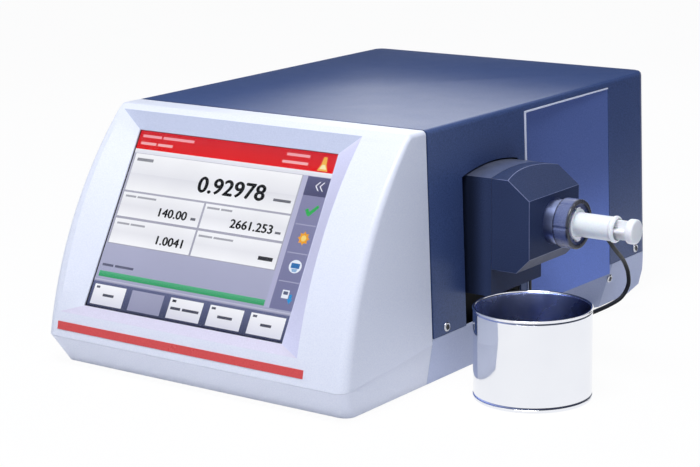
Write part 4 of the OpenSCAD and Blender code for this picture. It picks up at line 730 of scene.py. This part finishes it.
dark_metal = metal("dark anodised metal", "727ea6", "929dc6", (0.28, 0.4), 2600, 0.000005)
port = (0, 100, 133.5)
barrel = rounded([(186, 5.3), (186, 27.5), (198, 27.5), (198, 19.5), (243, 19.5), (243, 12.1), (208, 12.1),
                  (208, 5.3)], [0, 0, 1, 0, 0.8, 0.3, 0, 0])
build("port_tube", [lathe(barrel, port)], "instrument", dark_metal, ["port_barrel"])


def ring_grooves(along, out, angle):
    """Six grip grooves: outside, the radius is cut back to circles of radius groove, whose centres lie far
    from the axis. The cut lies at far times the cosine of the angle from the nearest centre, less the
    root of groove squared minus the square of far times the sine."""
    groove, far, past_all = 2, 22.7, 99.0
    off = (angle + np.pi / 6) % (np.pi / 3) - np.pi / 6 + 0 * along
    deep = np.sqrt(np.maximum(groove ** 2 - (far * np.sin(off)) ** 2, 0))
    cut = np.where(np.abs(far * np.sin(off)) < groove, far * np.cos(off) - deep, past_all)
    return np.where(out > 20.6, np.minimum(out, cut), out + 0 * off)


# the black ring is painted a light blue grey as a painted sheen, and painted far darker at its two ends than in its
# middle as painted shade
ring_painted_sheen_and_shade = moulded("black ring plastic, painted sheen and shade", "525d88", "66729e", (0.22, 0.32), 1300, 0.00001,
                       fade=(0, 0.1717, 0.0048, 0.0068, 0.12), Specular_IOR_Level=0.6)
ring = rounded([(234, 19.58), (234, 21.5), (249, 21.5), (249, 18), (245.3, 18), (245.3, 12.6), (243.3, 12.6),
                (243.3, 19.58)], [0.2, 1.1, 1.3, 0.5, 0.3, 0.3, 0.2, 0])
build("clamp_collar", [lathe(ring, port, sides=288, swell=ring_grooves)], "clamp_ring", ring_painted_sheen_and_shade, ["clamp_ring"],
      sharp=35)

white = moulded("white plastic", "f4f6f9", "fcfdfe", (0.28, 0.4), 900, 0.00002, Subsurface_Weight=0.15,
                Subsurface_Scale=0.003)


def lugs(along, out, angle):
    """Two lugs on the disc, 6.2 wide, that stand 1.45 further out above and below."""
    wide = np.abs(out * np.cos(angle) + 0 * along) < 3.1
    return np.where((along > 245.5) & (out > 13.2) & wide, out + 1.45, out + 0 * angle)


insert = rounded([(214, 10.58), (214, 12), (245.6, 12), (245.6, 13.5), (247.9, 13.5), (247.9, 10.58)],
                 [0, 0.3, 0, 0.3, 0.5, 0.4])
build("port_insert", [lathe(insert, port, sides=240, swell=lugs)], "instrument", white, ["port_adapter"])


# ---- syringe ----
# Moulded white syringe, its tip in the inlet nozzle: a barrel with a finger flange, and a plunger with
# four blades, a thumb disc and a rubber seal.
def flange_flats(along, out, angle):
    """Finger flange cut flat at 11.1 to the front and rear."""
    flat = 11.1 / np.maximum(np.abs(np.cos(angle)), 1e-6)
    return np.where((along > 283) & (out > 10.9), np.minimum(out, flat + 0 * along), out + 0 * angle)


barrel_outline = rounded(
    [(200, 0.8), (200, 2), (210, 2.15), (214, 2.75), (220, 4.15), (226, 10.5), (281, 10.5), (282.5, 11.5),
     (284.5, 11.5), (286, 9.7), (286, 9.5), (227.5, 9.5), (226.6, 0.8)],
    [0, 0.2, 0, 0.6, 1.5, 2, 0.6, 0.6, 0.9, 0.1, 0.1, 1.5, 0])
build("syringe_tube", [lathe(barrel_outline, port, sides=144, swell=flange_flats)], "syringe", white,
      ["syringe_barrel"])


def prism(outline, axis, first, last):
    """Outline in the plane square to an axis, carried straight along it from first to last and closed."""
    return span(*(np.insert(np.asarray(outline, float), "xyz".index(axis), at, 1) for at in (first, last)))


blade = 8.5
cross = [(1, blade), (-1, blade), (-1, 1), (-blade, 1), (-blade, -1), (-1, -1), (-1, -blade), (1, -blade), (1, -1),
         (blade, -1), (blade, 1), (1, 1)]
cross = rounded(cross, [0.4, 0.4, 0.6] * 4, 3) + port[1:]
disc = rounded([(296.5, 0), (296.5, 8.2), (297, 10.7), (304, 10.7), (304, 0)], [0, 0.2, 1.6, 2.4, 0], 8, closed=False)
stop = rounded([(245, 0), (245, 8.5), (247, 8.5), (247, 0)], [0, 0.4, 0.4, 0], closed=False)
build("plunger_rod", [prism(cross, "x", 246.5, 297.2), *(lathe(end, port, closed=False) for end in (disc, stop))],
      "plunger", white, ["syringe_plunger"])
grey_rubber = moulded("grey rubber", "4b4d52", "5c5e63", (0.5, 0.65), 1500, 0.00003)
seal = rounded([(238, 0), (238, 9.42), (240, 9.42), (240, 8.62), (243, 8.62), (243, 9.42), (245, 9.42), (245, 0)],
               [0, 0.5, 0.5, 0.2, 0.2, 0.5, 0.5, 0], closed=False)
build("plunger_ring_seal", [lathe(seal, port, closed=False)], "plunger", grey_rubber, ["plunger_seal"])


# ---- waste cup ----
# Deep drawn stainless cup with a rolled rim, polished outside and plainer inside. It stands loose on
# the bench beside the instrument.
cup_at = (245.4, 29.1, 0)
across = (0, math.pi / 2, 0)
steel = metal("polished stainless", "e9ebf2", "f2f4f9", (0.06, 0.11), 1800, 0.0000015, across)
# the inner wall is painted a light blue that darkens away from the instrument, down to 0.12 times, a painted
# reflection and shade
drawn = metal("drawn stainless, painted reflection and shade", "aebff8", "c6d3ff", (0.2, 0.3), 1800, 0.000002, across,
              (0, metres([195, 0, 0])[0], 0.02, 0.085, 0.12))
rim_turn = np.radians(np.linspace(-70, 250, 26))
rim = np.column_stack([76.6 + 1.2 * np.sin(rim_turn), 49.2 + 1.2 * np.cos(rim_turn)])
wall_out = [(0, 0), (0, 50.2), (2.4, 50.2), (2.9, 49.1), (3.7, 49.1), (4.3, 49.8), (8, 49.8), (74.2, 49.8),
            (74.5, 49.4), (75.2, 49.4)]
cup = np.concatenate([rounded(wall_out, [0, 0.9, 0.4, 0.1, 0.1, 0.3, 0, 0.1, 0, 0], 5, closed=False), rim,
                      rounded([(74, 48.6), (1.6, 48.6), (1.6, 0)], [0, 4, 0], 8, closed=False)])
shell = build("cup_shell", [lathe(cup, cup_at, "z", 160, closed=False)], "cup", [steel, drawn], ["waste_cup"])
middles = np.empty(len(shell.data.polygons) * 3)
shell.data.polygons.foreach_get("center", middles)
middles = (middles.reshape(-1, 3) - metres(cup_at)) * 1000
out_of, high = np.hypot(middles[:, 0], middles[:, 1]), middles[:, 2]
inside = (out_of < 48.8) & (high > 1) & (high < 75.7)
# the grooves over the foot and under the rim get the same painted shade as the inside
inside |= (out_of < 49.75) & ((high > 2.3) & (high < 4.4) | (high > 74.1) & (high < 75.4))
shell.data.polygons.foreach_set("material_index", inside.astype(np.int32))


# ---- screws ----
# Five pan head screws with a hexagon socket hold cover and tray, six small ones the rear panels. All
# are bright plated steel; a black disc at the bottom of each hexagon socket is painted shade.
plated = metal("bright plated steel", "b9bcc6", "d0d3da", (0.16, 0.26), 2600, 0.000002)
hexagon = 2.6  # radius of the socket's corners


def socket(along, out, angle):
    """Hexagon socket: where the radius is that of the corners it follows the flats instead, that radius
    times the cosine of thirty degrees over the cosine of the angle from the middle of the flat."""
    flats = hexagon * math.cos(math.pi / 6) / np.cos((angle + np.pi / 6) % (np.pi / 3) - np.pi / 6)
    return np.where(np.abs(out - hexagon) < 0.02, flats + 0 * along, out + 0 * angle)


head = np.concatenate([
    [[-9, 0], [-9, 2.0], [0, 2.0], [0, 4.2]],
    rounded([[0, 4.2], [0.5, 4.2], [1.4, 3.5], [1.4, 2.8], [1.2, hexagon]], [0, 0.3, 0.5, 0.1, 0], closed=False),
    [[0.1, hexagon], [0.1, 0]]])
# where each screw stands and the way it faces: two on each side of the cover, one over the niche
spots = [((s * half_w(49), y, 49), (s * math.cos(lean), 0, math.sin(lean))) for s in (-1, 1) for y in (21, 356)]
tray_lean = math.atan(7 / 41)
spots.append(((165 - (42.5 - 28) * math.tan(tray_lean), 309, 28), (math.cos(tray_lean), 0, -math.sin(tray_lean))))
# each large screw's second patch is a black disc at the bottom of its socket, painted shade
build("cover_screw_heads", [patch for place, way in spots for patch in (
    lathe(head, place, way, 48, socket, False), (*lathe([(0.45, 0), (0.45, 2.5)], place, way, 24, closed=False), 1))],
      "instrument", [plated, black_plastic], ["cover_screws"], sharp=30)
small = np.concatenate([
    [[-6, 0], [-6, 1.4], [0, 1.4], [0, 3]],
    rounded([[0, 3], [1.2, 2.7], [1.2, 1.5], [0.5, 0.9]], [0, 0.5, 0.1, 0], closed=False), [[0.4, 0]]])
build("rear_screw_heads", [lathe(small, (s * 144, 379.2, z), "y", 36, closed=False)
                           for s in (-1, 1) for z in (52.8, 72.8, 198)],
      "instrument", plated, ["rear_screws"], sharp=30)


# ---- vent filter ----
# A black felt pad against dust lies behind the vent slots beside the fan, and keeps light out of the
# housing.
felt_pad = moulded("black filter felt", "0b0c0f", "191a1e", (0.8, 0.9), 1800, 0.0002, Specular_IOR_Level=0.1)
build("vent_filter", [prism([(-45, 92), (25, 92), (25, 164), (-45, 164)], "y", 375.7, 377.1)], "instrument",
      felt_pad, bevel=0.3)


# ---- fan ----
# A square black housing behind the rear panel, a seven bladed rotor and a guard of bent wire.
eased("fan_housing", "fan_frame", "instrument", black_plastic, 0.5)
hub = rounded([(357.2, 0), (357.2, 15.6), (375.2, 15.6), (375.2, 0)], [0, 0.5, 1.6, 0], closed=False)
fan_x, fan_z = 88, 128
build("rotor_hub", [lathe(hub, (fan_x, 0, fan_z), "y", 64, closed=False)], "fan", black_plastic, ["fan_rotor"])


def fan_blades():
    """Seven blades. Over share r from hub to tip and share c along the chord, the blade stands at its
    own seventh of a turn plus the chord's share round, leans from 52 degrees at the hub to 34 at the
    tip, and bows out by a cosine along the chord. The chord is cut short where it would leave the hub's
    depth."""
    hub_r, blade_r, middle_y, deep = 15, 20.8, 366.2, 14.5
    r, c = np.meshgrid(np.linspace(0, 1, 9), np.linspace(-0.5, 0.5, 9), indexing="ij")
    radius = hub_r + blade_r * r
    twist = np.radians(52 - 18 * r)
    length = np.minimum(17 + 8 * r, deep / np.sin(twist))
    bow = 1.6 * np.cos(np.pi * c) * (0.5 + r)
    patches = []
    for k in range(7):
        turn = 2 * np.pi * k / 7 + (c * length * np.cos(twist) + bow * np.sin(twist)) / radius + 0.2 * r
        y = middle_y + c * length * np.sin(twist) - bow * np.cos(twist)
        blade_x, blade_z = fan_x + radius * np.sin(turn), fan_z + radius * np.cos(turn)
        patches.append((np.stack([blade_x, y, blade_z], -1), quads(9, 9)))
    return patches


build("rotor_blades", fan_blades(), "fan", black_plastic, solid=0.9, merge=0.001)
# the guard: four rings, two bars across them and a bolt at each corner
turn = np.linspace(0, 2 * np.pi, 73)[:-1]
wires = [tube(np.stack([fan_x + d / 2 * np.cos(turn), np.full(72, 381.1), fan_z + d / 2 * np.sin(turn)], -1), 0.8,
              12, (0, 1, 0), True) for d in (22, 36, 50, 64)]
step = np.linspace(-50.5, 50.5, 12)
slant = step * math.sqrt(0.5)
wires += [tube(np.stack([fan_x + slant, np.full(12, 380.0), fan_z + k * slant], -1), 0.8, 12, (0, 1, 0.1))
          for k in (-1, 1)]
bolt = rounded([(367.2, 0), (367.2, 1.9), (379.2, 1.9), (379.2, 3.5), (381.6, 3.2), (381.6, 1.6), (380.6, 0.8),
                (380.6, 0)], [0, 0, 0, 0.2, 0.8, 0.1, 0.1, 0], closed=False)
bolt_out = 35.75
wires += [lathe(bolt, (fan_x + a * bolt_out, 0, fan_z + b * bolt_out), "y", 32, closed=False)
          for a in (-1, 1) for b in (-1, 1)]
build("wire_guard", wires, "instrument", plated, ["finger_guard"], merge=0.0005)


# ---- mains inlet, switch and sockets ----
# The inlet and its fuse drawer, the rocker in its frame, two square sockets for drives, a network
# socket and a nine pole socket, all let into the connector plate.
def boxes(sizes):
    """Closed blocks from their lowest and highest corners: x0, x1, y0, y1, z0, z1."""
    return [prism([(x0, z0), (x1, z0), (x1, z1), (x0, z1)], "y", y0, y1) for x0, x1, y0, y1, z0, z1 in sizes]


for node, name, body, edge in (
        ("mains_inlet", "inlet_body", "instrument", 0.5), ("fuse_drawer", "fuse_tray", "drawer", 0.4),
        ("switch_frame", "rocker_frame", "instrument", 0.4), ("power_switch", "rocker", "rocker", 0.4)):
    eased(node, name, body, black_plastic, edge)
nickel = metal("nickel contacts", "b6b2a8", "cfcabd", (0.2, 0.3), 3000, 0.000002)
build("inlet_pins", boxes([(-125.06, -122.94, 355, 372.3, 82.94, 86.06), (-113.06, -110.94, 355, 372.3, 82.94, 86.06),
                           (-119.06, -116.94, 355, 372.3, 88.44, 91.56)]),
      "instrument", nickel, bevel=0.3)
for node, name in (("usb_sockets", "drive_sockets"), ("network_socket", "network_shell"),
                   ("serial_socket", "nine_pole_shell")):
    eased(node, name, "instrument", plated, 0.25)
# where the sockets stand: the two for drives and the network along x, the nine pole one in x and z
drives, network, nine_pole = (-36, -12), 20, (62, 51.6)
build("socket_tongues", boxes([(x - 5.6, x + 5.6, 369.5, 378.2, 49.6, 51.2) for x in drives] +
                              [(network - 5.7, network + 5.7, 366.4, 367.2, 48.4, 56.0)]),
      "instrument", black_plastic, bevel=0.2)
gold = metal("gilt contacts", "c39a45", "d9b45f", (0.2, 0.3), 3000, 0.000002)
drive_strips = [x + k * 2.4 for x in drives for k in (-1.5, -0.5, 0.5, 1.5)]
network_strips = [network + k * 1.1 for k in np.arange(-3.5, 4)]
build("socket_contacts", boxes([(x - 0.6, x + 0.6, 370, 377.8, 49.5, 49.65) for x in drive_strips] +
                               [(x - 0.2, x + 0.2, 367.2, 377, 54.6, 54.9) for x in network_strips]),
      "instrument", gold)
face = rounded([(-8.2, 3.5), (8.2, 3.5), (6.9, -3.5), (-6.9, -3.5)], 1.6)
build("nine_pole_insert", [prism(face + nine_pole, "y", 382.1, 382.35)], "instrument", black_plastic)
pole = rounded([(382.2, 0), (382.2, 0.55), (382.45, 0.55), (382.45, 0.28), (382.36, 0.28), (382.36, 0)],
               [0, 0, 0.1, 0, 0, 0], 2, closed=False)
build("nine_poles", [lathe(pole, (nine_pole[0] + k * 2.76, 0, nine_pole[1] + z), "y", 16, closed=False)
                     for z, row in ((1.42, (-2, -1, 0, 1, 2)), (-1.42, (-1.5, -0.5, 0.5, 1.5))) for k in row],
      "instrument", gold)


# ---- inside ----
# What the closed housing hides: bracket and board of the display, chassis, frames, the thermostat
# block with its glass tube, the cooler, the main board and the power supply.
sheet_steel = metal("galvanised sheet", "9fa4aa", "c0c4c8", (0.3, 0.5), 900, 0.000006)
# the front frame and the side bracket are near black as painted shade, so the gaps round the bezel and beside the
# attachment read dark
dark_sheet_painted_shade = moulded("near black sheet, painted shade in the gaps", "0c0d12", "14161c", (0.5, 0.65), 900, 0.00004, Specular_IOR_Level=0.1)
aluminium = metal("milled aluminium", "b2b6bc", "cdd0d4", (0.24, 0.36), 1500, 0.000006)
brass = metal("brass", "b08d49", "cfae68", (0.22, 0.34), 2500, 0.000004)
board_green = moulded("solder mask", "0f3d24", "1d5c38", (0.25, 0.4), 260, 0.00005)
ceramic = moulded("white ceramic", "d9d9d2", "e8e8e2", (0.5, 0.62), 1200, 0.00002)
film = moulded("clear tube plastic", "c9cdd2", "dcdfe3", (0.2, 0.3), 1200, 0.00001, Transmission_Weight=0.5)
dark_tube = moulded("black tube", "131419", "1b1c22", (0.28, 0.4), 1500, 0.00001)
glass = moulded("laboratory glass", "eef4f5", "f6fafa", (0.02, 0.06), 300, 0.000001, Transmission_Weight=1.0)
backlight = moulded("display panel", "2b2d33", "34363d", (0.4, 0.5), 900, 0.00001)
for material, names in {
        sheet_steel: ("display_bracket", "chassis_plate", "rear_uprights", "cell_support", "power_supply"),
        dark_sheet_painted_shade: ("front_frame", "side_bracket"), aluminium: ("cell_block", "cell_lid", "heat_sink"),
        brass: ("board_standoffs",), board_green: ("display_board", "main_board"), ceramic: ("peltier_element",),
        film: ("sample_tube",), glass: ("u_tube",), backlight: ("display_panel",),
        plated: ("heater_rod", "inlet_nozzle", "temperature_sensor")}.items():
    for name in names:
        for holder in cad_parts[name].material_slots:
            holder.material = material
eased("lead_socket", "lead_socket_shell", "instrument", plated, 0.3)
# the drain tube runs through the hood and hangs down from under its rear half
drain = [(110, 100, 118.5), (150, 100, 118.5), (174, 100, 118.5), (178.2, 100.8, 118.5), (180, 103, 118.5),
         (180, 112, 118.5), (180, 126, 118.5), (180, 131, 117.8), (180, 133, 115.2), (180, 133, 108),
         (180, 133, 80), (180, 133, 48)]
build("drain_tube", [tube(smooth_line(drain, 6), 1.2, 16)], "instrument", dark_tube, ["outlet_tube"])


# ---- floor and light ----
# A pale floor, a strong soft lamp high in front, a weak one low behind, an even pale surrounding, and
# two dark cards that only reflections see.
def camera_sees(tree, seen, lights):
    """Factor that is seen for rays of the camera, mirrors and glass, and lights for all others."""
    path = add(tree, "LightPath").outputs
    one = add(tree, "Math", {0: path["Is Camera Ray"], 1: path["Is Glossy Ray"]}, operation="MAXIMUM")
    both = add(tree, "Math", {0: one.outputs[0], 1: path["Is Transmission Ray"]}, operation="MAXIMUM")
    return add(tree, "MapRange", {0: both.outputs[0], 3: lights, 4: seen})


floor_mesh = bpy.data.meshes.new("floor")
floor_mesh.from_pydata([(-6, -6, 0), (6, -6, 0), (6, 6, 0), (-6, 6, 0)], [], [(0, 1, 2, 3)])
floor = placed("floor", floor_mesh)
paper, tree, matt = plain("pale floor", Base_Color=(0.86, 0.86, 0.88, 1), Roughness=0.9)
glow = add(tree, "Emission", {"Color": (1, 1, 1, 1), "Strength": 1.0})
share = camera_sees(tree, 0.96, 0.09)
both = add(tree, "MixShader", {0: share.outputs[0], 1: matt.outputs[0], 2: glow.outputs[0]})
tree.links.new(both.outputs[0], tree.nodes["Material Output"].inputs["Surface"])
floor_mesh.materials.append(paper)

world = bpy.data.worlds.new("surrounding")
bpy.context.scene.world = world
world.use_nodes = True
sky = world.node_tree.nodes["Background"]
seen = camera_sees(world.node_tree, 1.0, 0.0)
air_tone = (0.088, 0.122, 0.21, 1)
air = add(world.node_tree, "Mix", {0: seen.outputs[0], 6: air_tone, 7: (1, 1, 1, 1)}, data_type="RGBA")
world.node_tree.links.new(air.outputs[2], sky.inputs["Color"])


def soft_lamp(name, place, aim, size, power):
    """An area lamp at a place in metres, turned to its aim."""
    lamp = placed(name, bpy.data.lights.new(name, "AREA"))
    lamp.data.shape, lamp.data.size, lamp.data.size_y = "RECTANGLE", *size
    lamp.data.energy = power
    lamp.location = place
    way = np.asarray(aim, float) - np.asarray(place, float)
    down_from, round_by = math.atan2(math.hypot(way[0], way[1]), -way[2]), math.atan2(way[1], way[0])
    lamp.rotation_euler = (down_from, 0, round_by - math.pi / 2)


soft_lamp("front lamp", (0.3, -0.88, 2.1), (0, -0.1, 0.1), (1.1, 0.9), 48)
soft_lamp("rear lamp", (-0.78, 1.24, 0.72), (0.03, 0, 0.22), (0.9, 0.6), 3.2)

dark_felt = plain("dark card", Base_Color=(0.02, 0.025, 0.04, 1), Roughness=1.0)[0]


def dark_card(name, path, low, high):
    """A dark card that only reflections see, standing along a path between two heights in millimetres."""
    mesh = bpy.data.meshes.new(name)
    mesh.from_pydata(metres([(x, y, z) for z in (low, high) for x, y in path]), [], quads(2, len(path)).tolist())
    card = placed(name, mesh)
    mesh.materials.append(dark_felt)
    card.visible_camera = card.visible_diffuse = card.visible_transmission = False
    return card


# one stands along the lid's left and rear edges, one far out beside the right side
dark_card("lid_card", [(-195, 5), (-195, 415), (195, 415)], 224, 318)
dark_card("side_card", [(400, 330), (400, 1600)], 1, 900).visible_shadow = False
